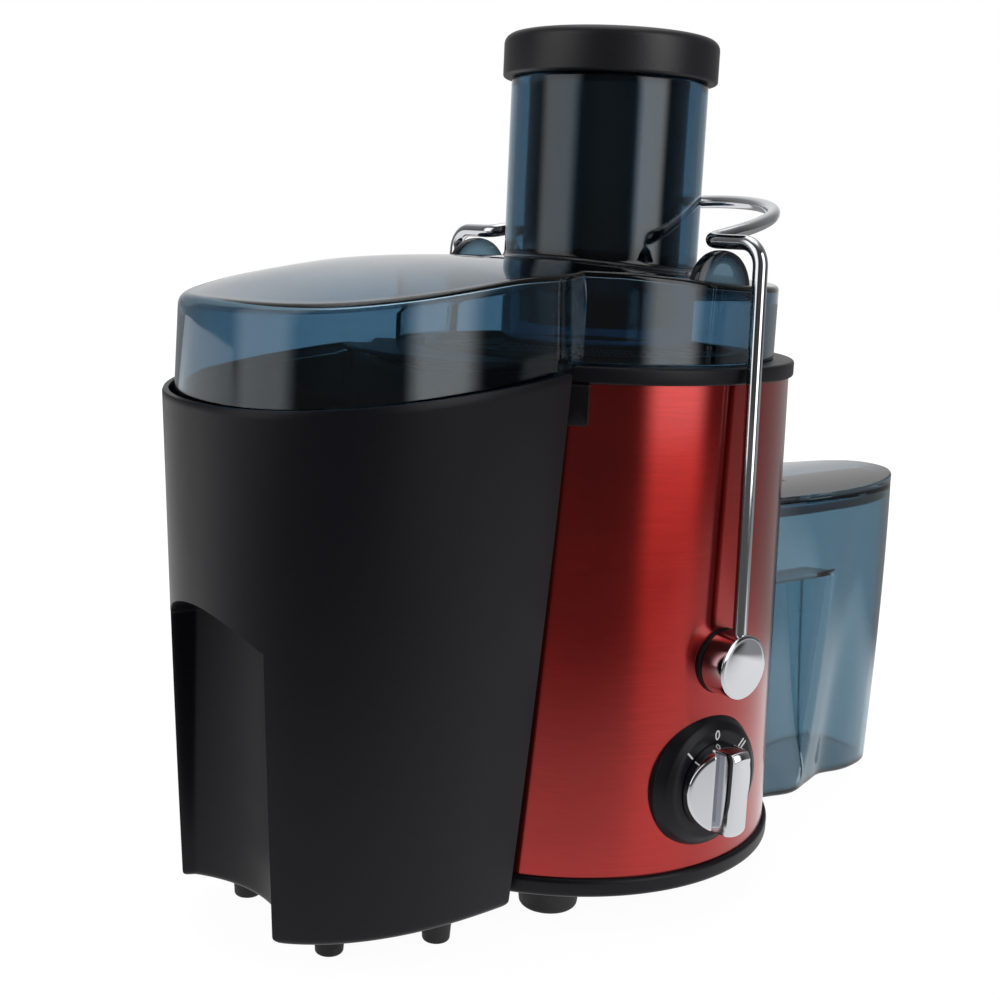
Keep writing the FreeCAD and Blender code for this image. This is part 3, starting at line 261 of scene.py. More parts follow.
grille = plate[:, :GRILLE_STEPS]
grille[..., 2] += SLOT_DEPTH * slot_depth(grille[..., 0], grille[..., 1])
base_tray = moulded("base_tray", [(plate, True, False)])
dress(base_tray, SATIN_BLACK, "base", "black_plastic", "base_plate")

# Motor and drive
# A universal motor hangs under the deck on rubber bushes: laminated iron, enamelled copper windings,
# brass brush holders, turned steel shaft. It is closed in by the shell.


def blend(tree, share, first, second, kind="RGBA"):
    """Two colours, or two numbers with kind FLOAT, mixed by a share."""
    return put(tree, "Mix", {"Factor": share, "A": first, "B": second}, data_type=kind).outputs["Result"]


def metal_finish(name, color, rough, scale):
    """Plain metal: a fine noise takes the roughness a fifth down and up, and the colour a little."""
    material = finish(name, {"Metallic": 1.0})
    tree = material.node_tree
    noise = put(tree, "TexNoise", {"Vector": object_spots(tree), "Scale": scale, "Detail": 5.0})
    mottle = noise.outputs["Fac"]
    dark = (*[0.85 * c for c in color], 1)
    bright = (*[min(1.0, 1.05 * c) for c in color], 1)
    feed(surface(material), {"Base Color": blend(tree, mottle, dark, bright),
                             "Roughness": ramp(tree, mottle, (0.0, 1.0), 0.8 * rough, 1.2 * rough)})
    return material


def coat_nodes(material, names):
    """Put a material on the slots of CAD nodes that stay as they are."""
    for name in names:
        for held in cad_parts[name].material_slots:
            held.material = material


coat_nodes(metal_finish("turned_steel", (0.58, 0.58, 0.6), 0.28, 300.0),
           ["motor_shaft", "upper_bearing", "lower_bearing", "motor_bolts", "base_screws", "pivot_pins",
            "knob_spindle", "upper_bracket", "lower_bracket"])
coat_nodes(metal_finish("laminated_iron", (0.25, 0.25, 0.26), 0.5, 500.0), ["stator_core", "armature_core"])
coat_nodes(metal_finish("enamelled_copper", (0.6, 0.25, 0.11), 0.3, 900.0),
           ["field_windings", "armature_windings", "commutator"])
coat_nodes(metal_finish("plain_brass", (0.7, 0.52, 0.24), 0.32, 400.0), ["brush_holders", "pivot_bushes"])
coat_nodes(grained("pressed_carbon", {"Base Color": (0.03, 0.03, 0.032, 1)}, (3000.0, 80.0), 0.4, 0.7, 0.5),
           ["carbon_brushes"])
coat_nodes(RUBBER, ["motor_bushes", "shaft_seal"])
coat_nodes(SATIN_BLACK, ["cooling_fan", "drive_coupling", "interlock_cam", "interlock_switch", "speed_switch",
                         "terminal_block", "top_deck"])

# Steel shell
# The red body: one sheet of stainless steel rolled to a slightly tapered tube, brushed round its
# girth and lacquered clear red. A notch in its rim lets the juice spout through on the jug's side.
SHELL_TOP = 210.5
SHELL_LOW_RADIUS = 89.0
SHELL_TOP_RADIUS = 85.6
SHEET = 0.8
SHELL_GAP = 0.05
NOTCH_HALF = 14.0
NOTCH_LOW = 162.5
NOTCH_RADIUS = 86.3

notch_turn = math.asin(NOTCH_HALF / NOTCH_RADIUS)
notch_edges = np.array([notch_turn, 2 * np.pi - notch_turn])
shell_turn = np.sort(np.concatenate([turns(361) + 0.001, notch_edges - 1e-4, notch_edges + 1e-4]))[:, None]
in_notch = np.minimum(shell_turn, 2 * np.pi - shell_turn) < notch_turn
shell_climb = np.where(in_notch, NOTCH_LOW, SHELL_TOP) - SHELL_LOW
shell_height = SHELL_LOW + SHELL_GAP + np.linspace(0, 1, 40) * shell_climb
taper = (SHELL_TOP_RADIUS - SHELL_LOW_RADIUS) / (SHELL_TOP - SHELL_LOW)
shell_radius = SHELL_LOW_RADIUS + taper * (shell_height - SHELL_LOW)


def wall_of_shell(radius):
    """Upright wall at each angle: (r cos a, r sin a, z) with r and z given for each angle and step."""
    return points(radius * np.cos(shell_turn), radius * np.sin(shell_turn), shell_height)


shell_grid = np.concatenate([wall_of_shell(shell_radius), wall_of_shell(shell_radius - SHEET)[:, ::-1]], 1)
steel_shell = moulded("steel_shell", [(shell_grid, True, True)])


def reckon(tree, operation, *values, clamp=False):
    """Result of a Math node on its values."""
    node = put(tree, "Math", dict(enumerate(values)), operation=operation, use_clamp=clamp)
    return node.outputs["Value"]


def brushed_lines():
    """Brush marks round an upright body: noise with Object coordinates stretched in Z, so that it runs in
    long level lines. Lines is the fine mark, Cloud the slow change of tone, both from 0 to 1."""
    group, given, out = new_group("brushed_lines", [("Line Scale", 60.0), ("Fineness", 60.0)],
                                  ["Lines", "Cloud"])
    where = object_spots(group)
    part = put(group, "SeparateXYZ", {"Vector": where}).outputs
    fine_z = reckon(group, "MULTIPLY", part["Z"], given["Fineness"])
    level = put(group, "CombineXYZ", {"X": part["X"], "Y": part["Y"], "Z": fine_z}).outputs["Vector"]
    lines = put(group, "TexNoise", {"Vector": level, "Scale": given["Line Scale"], "Detail": 3.0,
                                    "Roughness": 0.65})
    cloud = put(group, "TexNoise", {"Vector": where, "Scale": 18.0})
    feed(out, {"Lines": lines.outputs["Fac"], "Cloud": cloud.outputs["Fac"]})
    return group


BRUSHED_LINES = brushed_lines()


def brushed_finish(name, dark, light, values, rough, bump):
    """Brushed metal: the lines mix a dark and a light tone, vary the roughness and make a fine relief."""
    material = finish(name, values)
    tree = material.node_tree
    brush = put(tree, "Group", {}, node_tree=BRUSHED_LINES).outputs
    relief = put(tree, "Bump", {"Strength": bump, "Distance": 0.0001, "Height": brush["Lines"]})
    feed(surface(material), {"Base Color": blend(tree, brush["Lines"], (*dark, 1), (*light, 1)),
                             "Roughness": ramp(tree, brush["Cloud"], (0.3, 0.7), rough - 0.04, rough + 0.05),
                             "Normal": relief.outputs["Normal"]})
    return material


RED_STEEL = brushed_finish("red_lacquered_steel", (0.30, 0.011, 0.010), (0.50, 0.034, 0.028),
                           {"Metallic": 1.0, "Anisotropic": 0.9, "Anisotropic Rotation": 0.25,
                            "Coat Weight": 0.7, "Coat Roughness": 0.12, "Coat IOR": 1.45}, 0.23, 0.04)
dress(steel_shell, RED_STEEL, "base", "red_steel", "body_shell")

# Juice bowl
# The black moulded bowl that drops into the body and carries the sieve's juice to the spout. Its
# rim lies on the steel as a rounded ring, and a thin lip leads the pulp over the container.
LID_SEAT = 217.0
RIM_RADIUS = 87.4
BOWL_OUTSIDE = 72.5
BOWL_INSIDE = 70.0
BOWL_LOW = 163.5
BOWL_FLOOR = 166.0
COLLAR_OUTSIDE = 18.5
COLLAR_INSIDE = 16.0
COLLAR_TOP = 183.5
SPOUT_START = 69.5
SPOUT_TIP = 115.0
SPOUT_SLANT = 0.404
LIP_REACH = 100.4
LIP_STEPS = 40

bowl_profile = rounded([(COLLAR_INSIDE, BOWL_LOW), (BOWL_OUTSIDE, BOWL_LOW), (BOWL_OUTSIDE, 213.5),
                        (82.6, 213.5), (82.6, 210.6), (RIM_RADIUS, 210.6), (RIM_RADIUS, LID_SEAT),
                        (BOWL_INSIDE, LID_SEAT), (BOWL_INSIDE, BOWL_FLOOR), (COLLAR_OUTSIDE, BOWL_FLOOR),
                        (COLLAR_OUTSIDE, COLLAR_TOP), (COLLAR_INSIDE, COLLAR_TOP)],
                       [0.5, 2, 0.5, 0.5, 0.3, 1.0, 1.3, 0.8, 2, 1.5, 0.8, 0.8])
bowl = turned(bowl_profile, turns(240))


def upright(half, low, high):
    """Corners of an upright rectangle as (across, z)."""
    return [(-half, low), (half, low), (half, high), (-half, high)]


def spout_tube(half_width, low, high):
    """Channel along X: a rounded rectangle in Y-Z from the bowl to the slanted mouth
    x = tip - 0.404 (z - low of the bowl)."""
    loop = rounded(upright(half_width, low, high), [2.0] * 4)
    length = SPOUT_TIP - SPOUT_SLANT * (loop[:, 1] - BOWL_LOW) - SPOUT_START
    return points(SPOUT_START + np.linspace(0, 1, 12)[:, None] * length, *loop.T)


def pulp_lip(half, inner, outer, low, high):
    """Plate round the body's axis: a rounded section in (r, z) carried along y, x = -sqrt(r^2 - y^2),
    shrunk to its middle at both ends."""
    section = rounded([(inner, low), (outer, low), (outer, high), (inner, high)], [0, 0.9, 0.9, 0])
    y = np.concatenate([[-half], np.linspace(-half, half, LIP_STEPS), [half]])[:, None]
    shrink = np.concatenate([[0], np.ones(LIP_STEPS), [0]])[:, None, None]
    middle = section.mean(0)
    shrunk = middle + shrink * (section - middle)
    return points(-np.sqrt(shrunk[..., 0] ** 2 - y * y), y, shrunk[..., 1])


spout = np.concatenate([spout_tube(13, BOWL_LOW, 184.5), spout_tube(10.5, BOWL_FLOOR, 182)[::-1]])
lip = pulp_lip(42, 85, LIP_REACH, 215, 216.95)
juice_bowl = moulded("juice_bowl_moulding", [(bowl, True, True), (spout, True, True), (lip, False, True)])
dress(juice_bowl, SATIN_BLACK, "base", "black_plastic", "juice_bowl")

# Sieve and grater
# The spinning basket: a cone of perforated stainless foil held between a black hub and a black rim,
# with the toothed grater disc on its floor. It drops on the motor's coupling.
coat_nodes(SATIN_BLACK, ["sieve_hub", "sieve_rim"])


def perforated_finish():
    """Foil with a staggered field of holes: each cell of a Voronoi pattern has a painted dark dot in its
    middle, in place of the hole and the shade seen through it.
    """
    material = finish("perforated_foil", {"Metallic": 1.0, "Roughness": 0.42})
    tree = material.node_tree
    cells = put(tree, "TexVoronoi", {"Vector": object_spots(tree), "Scale": 700.0, "Randomness": 0.15})
    foil = ramp(tree, cells.outputs["Distance"], (0.28, 0.36))
    feed(surface(material), {"Base Color": blend(tree, foil, (0.02, 0.02, 0.02, 1), (0.2, 0.2, 0.21, 1))})
    return material


coat_nodes(perforated_finish(), ["sieve_mesh"])
coat_nodes(brushed_finish("grater_steel", (0.3, 0.3, 0.31), (0.42, 0.42, 0.43), {"Metallic": 1.0}, 0.3, 0.1),
           ["grater_disc"])

# Lid
# One clear moulding in smoky blue: a low drum over the sieve, the hood over the pulp container, the
# wide feed chute and two ears that the arm presses on. It rests on the bowl's ring and the container.
CHUTE_X = 8.0
CHUTE_RADIUS = 40.0
CHUTE_TOP = 324.5
CHUTE_LOW = 220.0
CHUTE_FILLET = 3.0
UNDER_FILLET = 1.5
RIM_ROUND = 1.2
DRUM_RADIUS = 79.0
DRUM_EDGE = 2.0
DRUM_HEIGHT = 254.0
DRUM_TILT = 0.055
DRUM_CROWN = 0.0007
HOOD_X = -100.0
HOOD_LENGTH = 76.7
HOOD_WIDTH = 68.0
HOOD_EDGE = 4.5
HOOD_HEIGHT = 236.0
HOOD_SLOPE = 0.166
HOOD_CROWN = 6.0
HOOD_SINK = 3.5
OUTLINE_POWER = 2.3
WALL_DRAFT = 1.2
LID_WALL = 2.5
EAR_X = 1.0
EAR_ROUND = 15.5
EAR_HEIGHT = 244.3
EAR_FOOT = 241.0
EAR_FLANK = 242.5
EAR_CENTRE = 248.0
EAR_FACE = 69.5
EAR_THICK = 5.5


def soft_step(x):
    """0 below 0, 1 above 1, 3x^2 - 2x^3 between."""
    x = np.clip(x, 0, 1)
    return x * x * (3 - 2 * x)


def eased(x, width):
    """x above 0 and 0 below, eased over a width: w log(1 + e^(x / w))."""
    return width * np.log1p(np.exp(np.clip(x / width, -30, 30)))


def roof_height(x, y):
    """Crowned roof E + K (1 - q): E is the edge's height, level at the hood's end and rising by 0.166 from
    there to 254; q = |x/a|^2.3 + |y/b|^2.3 is 1 at the hood's outline; K is 6 and fades out as E nears 254.
    Over the drum the roof tilts down by 0.055 towards the jug and drops with y squared."""
    edge = DRUM_HEIGHT - eased(DRUM_HEIGHT - HOOD_HEIGHT - HOOD_SLOPE * eased(x + 161, 6), 1.5)
    q = (np.abs((x - HOOD_X) / (HOOD_LENGTH - WALL_DRAFT)) ** OUTLINE_POWER
         + np.abs(y / (HOOD_WIDTH - WALL_DRAFT)) ** OUTLINE_POWER)
    crown = HOOD_CROWN * (1 - np.exp(-(DRUM_HEIGHT - edge) / 5)) * np.clip(1 - q, 0, 1)
    drop = soft_step((x + 95) / 41) * DRUM_CROWN * y * y
    return edge + crown - DRUM_TILT * np.maximum(0, x + 40) - drop


def rim_plane(x):
    """Height of the container's sloping rim plane at x."""
    return 207.7 + 0.123 * (x + 130)


def edge_between(near, far, inside, rounds):
    """Where a test that holds at near stops to hold on the way to far, by halving: the last points that
    hold and the first that don't."""
    for _ in range(rounds):
        middle = (near + far) / 2
        held = inside(middle)
        near = np.where(held, middle, near)
        far = np.where(held, far, middle)
    return near, far


def lid_reach(turn, inset, draft):
    """Distance from the chute's axis to the lid's wall along each direction: the farther of the drum's
    circle and the hood's curve |x/a|^2.3 + |y/b|^2.3 = 1."""
    c = np.cos(turn)
    s = np.sin(turn)
    drum = -CHUTE_X * c + np.sqrt((DRUM_RADIUS - inset) ** 2 - (CHUTE_X * s) ** 2)

    def in_hood(r):
        along = np.abs((CHUTE_X + r * c - HOOD_X) / (HOOD_LENGTH - draft - inset))
        return along ** OUTLINE_POWER + np.abs(r * s / (HOOD_WIDTH - draft - inset)) ** OUTLINE_POWER <= 1

    near = np.maximum((HOOD_X - CHUTE_X) * c, 0)
    hood = edge_between(near, np.full_like(turn, 260.0), in_hood, 44)[0]
    return np.where(in_hood(near), np.maximum(drum, hood), drum)


crease_search = np.linspace(1.8, 2.8, 20001)
CREASE = crease_search[np.argmax(np.diff(lid_reach(crease_search, 0, 0), 2)) + 1]
near_crease = CREASE + np.array([-0.03, -0.012, -0.004, 0, 0.004, 0.012, 0.03])
lid_turn = np.sort(np.concatenate([turns(300) - np.pi, near_crease, -near_crease]))[:, None]


def lid_loop(turn):
    """Closed section of the lid at each direction about the chute's axis, as (r, z): down the chute, along
    the roof, round its edge, down the wall, back up inside, under the roof and up the chute's bore."""
    top, top_in = (lid_reach(turn, inset, WALL_DRAFT) for inset in (0, LID_WALL))
    low, low_in = (lid_reach(turn, inset, 0) for inset in (0, LID_WALL))

    def roof(r):
        return roof_height(CHUTE_X + r * np.cos(turn), r * np.sin(turn))

    low_x = CHUTE_X + low * np.cos(turn)
    sink = HOOD_SINK * soft_step((-66 - low_x) / 12)
    hood_seat = np.minimum(rim_plane(low_x) + 0.5 - sink, LID_SEAT + 0.1)
    seat = np.where(np.abs(turn) > CREASE, hood_seat, LID_SEAT + 0.1)
    blank = np.zeros_like(turn)
    line = np.linspace(0, 1, 12)[None, :]
    long_line = np.linspace(0, 1, 34)[None, :]
    arc = np.linspace(0, np.pi / 2, 9)[None, 1:-1]
    foot_r = CHUTE_RADIUS + CHUTE_FILLET
    foot_z = roof(blank + foot_r)
    under_z = foot_z - LID_WALL - UNDER_FILLET
    edge = DRUM_EDGE + (HOOD_EDGE - DRUM_EDGE) * soft_step((-60 - CHUTE_X - top * np.cos(turn)) / 50)
    edge_r = top - edge
    edge_z = roof(edge_r)
    wall_z = edge_z - edge
    inner_edge = edge - 1.5
    inner_r = top_in - inner_edge
    hollow_z = roof(inner_r) - LID_WALL - inner_edge
    roof_r = foot_r + (edge_r - foot_r) * long_line
    under_r = inner_r + (CHUTE_RADIUS + UNDER_FILLET - inner_r) * long_line
    bore = CHUTE_RADIUS - LID_WALL
    rim_z = CHUTE_TOP - RIM_ROUND
    parts = [
        (CHUTE_RADIUS, rim_z + (foot_z + CHUTE_FILLET - rim_z) * line),
        (CHUTE_RADIUS + CHUTE_FILLET * (1 - np.cos(arc)), foot_z + CHUTE_FILLET * (1 - np.sin(arc))),
        (roof_r, roof(roof_r)),
        (edge_r + edge * np.sin(arc), edge_z - edge * (1 - np.cos(arc))),
        (top + (low - top) * line, wall_z + (seat + 0.4 - wall_z) * line),
        (low - 0.4, seat),
        (low_in + 0.3, seat),
        (low_in + (top_in - low_in) * line, seat + 0.3 + (hollow_z - seat - 0.3) * line),
        (inner_r + inner_edge * np.cos(arc), hollow_z + inner_edge * np.sin(arc)),
        (under_r, roof(under_r) - LID_WALL),
        (CHUTE_RADIUS, under_z + (CHUTE_LOW - under_z) * line),
        (CHUTE_RADIUS - 0.6, CHUTE_LOW - 0.8),
        (bore + 0.6, CHUTE_LOW - 0.8),
        (bore, CHUTE_LOW + (rim_z - CHUTE_LOW) * long_line),
        (bore + LID_WALL / 2 * (1 - np.cos(2 * arc)), rim_z + RIM_ROUND * np.sin(2 * arc)),
    ]
    loop = [np.broadcast_arrays(r, z, blank)[:2] for r, z in parts]
    return [np.concatenate(columns, 1) for columns in zip(*loop)]


lid_r, lid_z = lid_loop(lid_turn)
lid_grid = points(CHUTE_X + lid_r * np.cos(lid_turn), lid_r * np.sin(lid_turn), lid_z)


def ear(side):
    """Arched plate that stands on the drum: its outline from foot to foot over a half circle, carried through
    the plate's thickness with rounded edges; side is -1 in front and 1 behind."""
    arch = np.linspace(0, np.pi, 33)
    x = np.concatenate([[EAR_ROUND] * 2, EAR_ROUND * np.cos(arch), [-EAR_ROUND] * 2, np.linspace(-12, 12, 9)])
    z = np.concatenate([[EAR_FOOT, EAR_FLANK], EAR_HEIGHT + EAR_ROUND * np.sin(arch), [EAR_FLANK],
                        np.full(10, EAR_FOOT)])
    shrink = np.array([0, 0.55, 0.93, 0.985, 1, 1, 0.985, 0.93, 0.55, 0])[:, None]
    depth = np.array([0, 0, 0.02, 0.12, 0.3, 0.7, 0.88, 0.98, 1, 1])[:, None]
    return points(EAR_X + x * shrink, side * (EAR_FACE + EAR_THICK * depth),
                  EAR_CENTRE + (z - EAR_CENTRE) * shrink)


def paint_edge_shade(piece, depth):
    """Keep at each vertex how much painted shade deepens the plastic's tint, 0 to 1, by a formula of its
    place in mm
    about the motor axis: edges and corners are painted dark, in place of the shade where light runs a long
    way through them."""
    spots = np.empty(3 * len(piece.data.vertices))
    piece.data.vertices.foreach_get("co", spots)
    x, y, z = (spots.reshape(-1, 3) * 1000 - MOTOR_AXIS).T
    # The "depth" attribute holds this painted shade.
    layer = piece.data.attributes.new("depth", "FLOAT", "POINT")
    layer.data.foreach_set("value", np.clip(depth(x, y, z), 0, 1).astype(np.float32))


def smoke_finish(name, tint, slanted, rough):
    """Clear smoky plastic: tinted transmission, deeper where the wall is seen on the slant, because the light
    goes a longer way through it, mixed towards near black by the depth attribute's painted shade, with fine
    handling marks in its roughness."""
    material = grained(name, {"IOR": 1.49, "Transmission Weight": 1.0}, (400.0, 35.0), 0.0,
                       1.4 * rough, 0.6 * rough)
    tree = material.node_tree
    slant = put(tree, "LayerWeight", {"Blend": 0.3}).outputs["Facing"]
    walls = blend(tree, slant, (*tint, 1), (*[c ** slanted for c in tint], 1))
    # Painted shade: the depth attribute darkens the tint towards near black at the marked edges and corners.
    edges = put(tree, "Attribute", {}, attribute_name="depth").outputs["Fac"]
    feed(surface(material), {"Base Color": blend(tree, edges, walls, (0.004, 0.008, 0.012, 1))})
    return material


def lid_painted_shade(x, y, z):
    """Painted shade on the lid: the two ears are twice as thick as the walls and are painted darker, and
    their rims are painted dark from 12 mm out of the middle of their half circles."""
    out = np.hypot(x - EAR_X, z - EAR_HEIGHT)
    on_ear = (np.abs(y) > EAR_FACE - 0.5) * (z > 242.4) * (np.abs(x - EAR_X) < EAR_ROUND + 0.1)
    return (0.45 + 0.4 * soft_step((out - 12) / 2.5)) * on_ear


SMOKE = smoke_finish("smoky_blue_clear", (0.205, 0.335, 0.43), 1.9, 0.025)
lid = moulded("clear_lid", [(lid_grid, True, True), (ear(-1), False, True), (ear(1), False, True)], 40)
paint_edge_shade(lid, lid_painted_shade)
dress(lid, SMOKE, "base", "smoke_plastic", "lid")

# Pusher
# The plunger that presses food down the chute: a glossy black tube with a closed end, hung by a matte
# black cap that sits on the chute's rim.
PUSHER_RADIUS = 32.5
PUSHER_LOW = 226.7
CAP_RADIUS = 43.6
CAP_LOW = 324.7
CAP_TOP = 341.7
CAP_DISH = 341.1

GLOSS_BLACK = grained("gloss_black", {"Base Color": (0.004, 0.0045, 0.005, 1)},
                      (500.0, 30.0), 0.0, 0.16, 0.08)
pusher_profile = rounded([(0, PUSHER_LOW), (PUSHER_RADIUS, PUSHER_LOW), (PUSHER_RADIUS, CAP_LOW),
                          (0, CAP_LOW)], [0, 2.5, 0, 0])
pusher = moulded("pusher_plunger", [(turned(pusher_profile) + (CHUTE_X, 0, 0), True, False)])
dress(pusher, GLOSS_BLACK, "pusher", "black_plastic", "pusher_tube")
MATTE_BLACK = grained("matte_black_abs", {"Base Color": (0.006, 0.006, 0.0095, 1)},
                      (1500.0, 25.0), 0.25, 0.46, 0.38)
cap_profile = rounded([(0, CAP_LOW), (CAP_RADIUS, CAP_LOW), (CAP_RADIUS, CAP_TOP), (36, CAP_TOP),
                       (33, CAP_DISH), (0, CAP_DISH)], [0, 1.2, 4.0, 2, 2, 0], 9)
cap = moulded("pusher_handle", [(turned(cap_profile, turns(220)) + (CHUTE_X, 0, 0), True, False)])
dress(cap, MATTE_BLACK, "pusher", "black_plastic", "pusher_cap")

# Pulp container
# A deep satin black tub that hugs the body and takes the pulp under the lid's hood. Its far end has a
# hand grip scooped out below, and it stands on four small pads.
BODY_CLEAR = 91.5
CORNER_CLEAR = 98.0
CONTAINER_LOW = 12.0
CONTAINER_WALL = 2.5
FOOT_CURL = 3.0
FLOOR_MIDDLE = -125.0
END_HALF = 34.0
GRIP_HALF = 32.0
GRIP_TOP = 129.5
GRIP_ARCH = 54.0
SCOOP_RADIUS = 53.0
SCOOP_AXIS = -204.0
SOFT_EDGE = 0.9

SIDE_STEPS = np.linspace(0, 1, 70)
CORNER_Y = np.linspace(END_HALF, 30, 22)
END_Y = np.concatenate([CORNER_Y[1:], np.linspace(30, -30, 40)[1:-1], -CORNER_Y[:0:-1]])
HUG_STEPS = np.sin(np.linspace(-np.pi / 2, np.pi / 2, 44))[1:-1]
COLUMN_COUNTS = [len(SIDE_STEPS), len(END_Y), len(SIDE_STEPS), len(HUG_STEPS)]
COLUMN_KIND = np.repeat([1, 0, -1, 2], COLUMN_COUNTS)[None, :]
COLUMN_SHARE = np.concatenate([SIDE_STEPS, END_Y, SIDE_STEPS[::-1], HUG_STEPS])[None, :]


def bulged(c, power):
    """|c|^power with the sign of c."""
    return np.sign(c) * np.abs(c) ** power


def tub_section(z, inset):
    """Middle, half length and half width of the tub's outline at each height, drawn in by inset."""
    share = (z - CONTAINER_LOW) / (207.7 - CONTAINER_LOW)
    return -88.4 - 11.6 * share, 88.1 - 7.1 * share - inset, 58.9 + 13.4 * share - inset


def tub_outline(z, inset):
    """Plan of the tub at each height z: along both sides on the curve |x/a|^2.3 + |y/b|^2.3 = 1 from the
    body's circle to |y| = 34, across the far end by y, and along the body on a circle about its axis that
    opens out by 6.5 mm to round the two corners."""
    middle, half_length, half_width = tub_section(z, inset)
    power = 2 / OUTLINE_POWER

    def curve(turn):
        return middle + half_length * bulged(np.cos(turn), power), half_width * np.abs(np.sin(turn)) ** power

    def by_body(turn):
        x, y = curve(turn)
        return x * x + y * y < (CORNER_CLEAR + inset) ** 2

    blank = np.zeros_like(middle)
    first = edge_between(blank, blank + np.pi / 2, by_body, 36)[1]
    corner_x, corner_y = curve(first)
    last = np.pi - np.arcsin((END_HALF / half_width) ** (1 / power))
    side_x, side_y = curve(first + (last - first) * np.clip(COLUMN_SHARE, 0, 1))
    end_share = np.abs(np.clip(COLUMN_SHARE, -END_HALF, END_HALF) / half_width) ** OUTLINE_POWER
    end_x = middle - half_length * (1 - end_share) ** (1 / OUTLINE_POWER)
    hug = COLUMN_SHARE * np.arctan2(corner_y, -corner_x)
    body = BODY_CLEAR + inset + (CORNER_CLEAR - BODY_CLEAR) * np.clip(np.abs(COLUMN_SHARE), 0, 1) ** 14
    is_side = np.abs(COLUMN_KIND) == 1
    x = np.where(is_side, side_x, np.where(COLUMN_KIND == 0, end_x, -body * np.cos(hug)))
    y = np.where(is_side, COLUMN_KIND * side_y, np.where(COLUMN_KIND == 0, COLUMN_SHARE, body * np.sin(hug)))
    return x, y


def grip_arch(y, inset):
    """Height of the grip's arch: an arc of radius 54 about the grip's middle."""
    return GRIP_TOP + inset - GRIP_ARCH + np.sqrt(GRIP_ARCH ** 2 - np.minimum(np.abs(y), GRIP_HALF) ** 2)


def tub_points(z, inset):
    """Points of the tub's wall at heights z. Under the grip's arch and within its width the far end steps
    back to an upright cylinder of radius 53 about an axis outside the tub."""
    x, y = tub_outline(z, inset)
    scoop = soft_step((grip_arch(y, inset) + SOFT_EDGE - z) / (2 * SOFT_EDGE))
    scoop = scoop * soft_step((GRIP_HALF + inset + SOFT_EDGE - np.abs(y)) / (2 * SOFT_EDGE))
    scoop = np.where(x < -110, scoop, 0)
    back = SCOOP_AXIS + np.sqrt(np.maximum((SCOOP_RADIUS + inset) ** 2 - y * y, 0))
    return points(np.where(x < back, x + (back - x) * scoop, x), y, z)


def tub_wall(inset, low, rows):
    """Wall of the tub from low to the sloping rim, with rows gathered at the grip's arch: the heights follow
    the plan, which follows the heights, so they are worked out three times over."""
    t = np.linspace(0, 1, rows)[:, None]
    z = low + (204 - low) * t + 0 * COLUMN_SHARE
    for _ in range(3):
        x, y = tub_outline(z, inset)
        arch = grip_arch(y, inset)
        first = low + (arch - 2 - low) * np.clip(t / 0.4, 0, 1)
        band = 4 * np.clip((t - 0.4) / 0.25, 0, 1)
        z = first + band + (rim_plane(x) - SOFT_EDGE - arch - 2) * np.clip((t - 0.65) / 0.35, 0, 1)
    return tub_points(z, inset)


def curled_edge(rows_at, low, radius, steps):
    """Rows of a rounded lower edge: a quarter circle from the floor to the wall, where rows_at gives the row
    at a height, drawn in by what is left of the radius."""
    curl = np.linspace(0, np.pi / 2, steps)[:-1]
    return np.concatenate([rows_at(np.array([[low + radius - radius * math.cos(a)]]),
                                   radius - radius * math.sin(a)) for a in curl])


def floor_rows(outline, middle, z, steps):
    """Level rows at height z between a middle point on the X axis and an outline, in even shares."""
    share = np.linspace(0, 1, steps, endpoint=False)[:, None, None]
    centre = np.array([middle, 0.0, 0.0])
    return centre + (outline * (1, 1, 0) - centre) * share + np.array([0, 0, z])


def rim_rows(outer, inner, share, lift):
    """Two rows over a wall's rim, one nearer to each side by a share, lifted."""
    rows = [share * outer + (1 - share) * inner, (1 - share) * outer + share * inner]
    return np.concatenate(rows) + (0, 0, lift)


tub_low = curled_edge(tub_points, CONTAINER_LOW, FOOT_CURL, 7)
tub_out = tub_wall(0.0, CONTAINER_LOW + FOOT_CURL, 120)
tub_in = tub_wall(CONTAINER_WALL, CONTAINER_LOW + CONTAINER_WALL, 70)[::-1]
tub_grid = np.concatenate([floor_rows(tub_low[:1], FLOOR_MIDDLE, CONTAINER_LOW, 4), tub_low, tub_out,
                           rim_rows(tub_out[-1:], tub_in[:1], 0.85, SOFT_EDGE), tub_in,
                           floor_rows(tub_in[-1:], FLOOR_MIDDLE, CONTAINER_LOW + CONTAINER_WALL, 4)[::-1]])
container = moulded("pulp_tub", [(tub_grid, False, True)], 38)
dress(container, SATIN_BLACK, "base", "black_plastic", "pulp_container")

pad_profile = rounded([(0, 0), (5.2, 0), (6, CONTAINER_LOW + 0.5), (0, CONTAINER_LOW + 0.5)], [0, 1.2, 0, 0])
pad = turned(pad_profile, turns(40))
pad_spots = [(-BODY_CLEAR - out, side * y, 0) for out, y in ((47.5, 29.0), (9.5, 44.0)) for side in (-1, 1)]
pads = moulded("pads_of_the_tub", [(pad + np.array(spot), True, False) for spot in pad_spots])
dress(pads, RUBBER, "base", "rubber", "container_feet")

# Container catches
# Two small black clips on the body, just under the bowl's ring, that the container's rim snaps past.
# Each is an upright tab with rounded corners, fixed through the steel.
CATCH_HALF = 4.5
CATCH_LOW = 195.5
CATCH_TOP = 210.4
CATCH_TURN = math.radians(134)


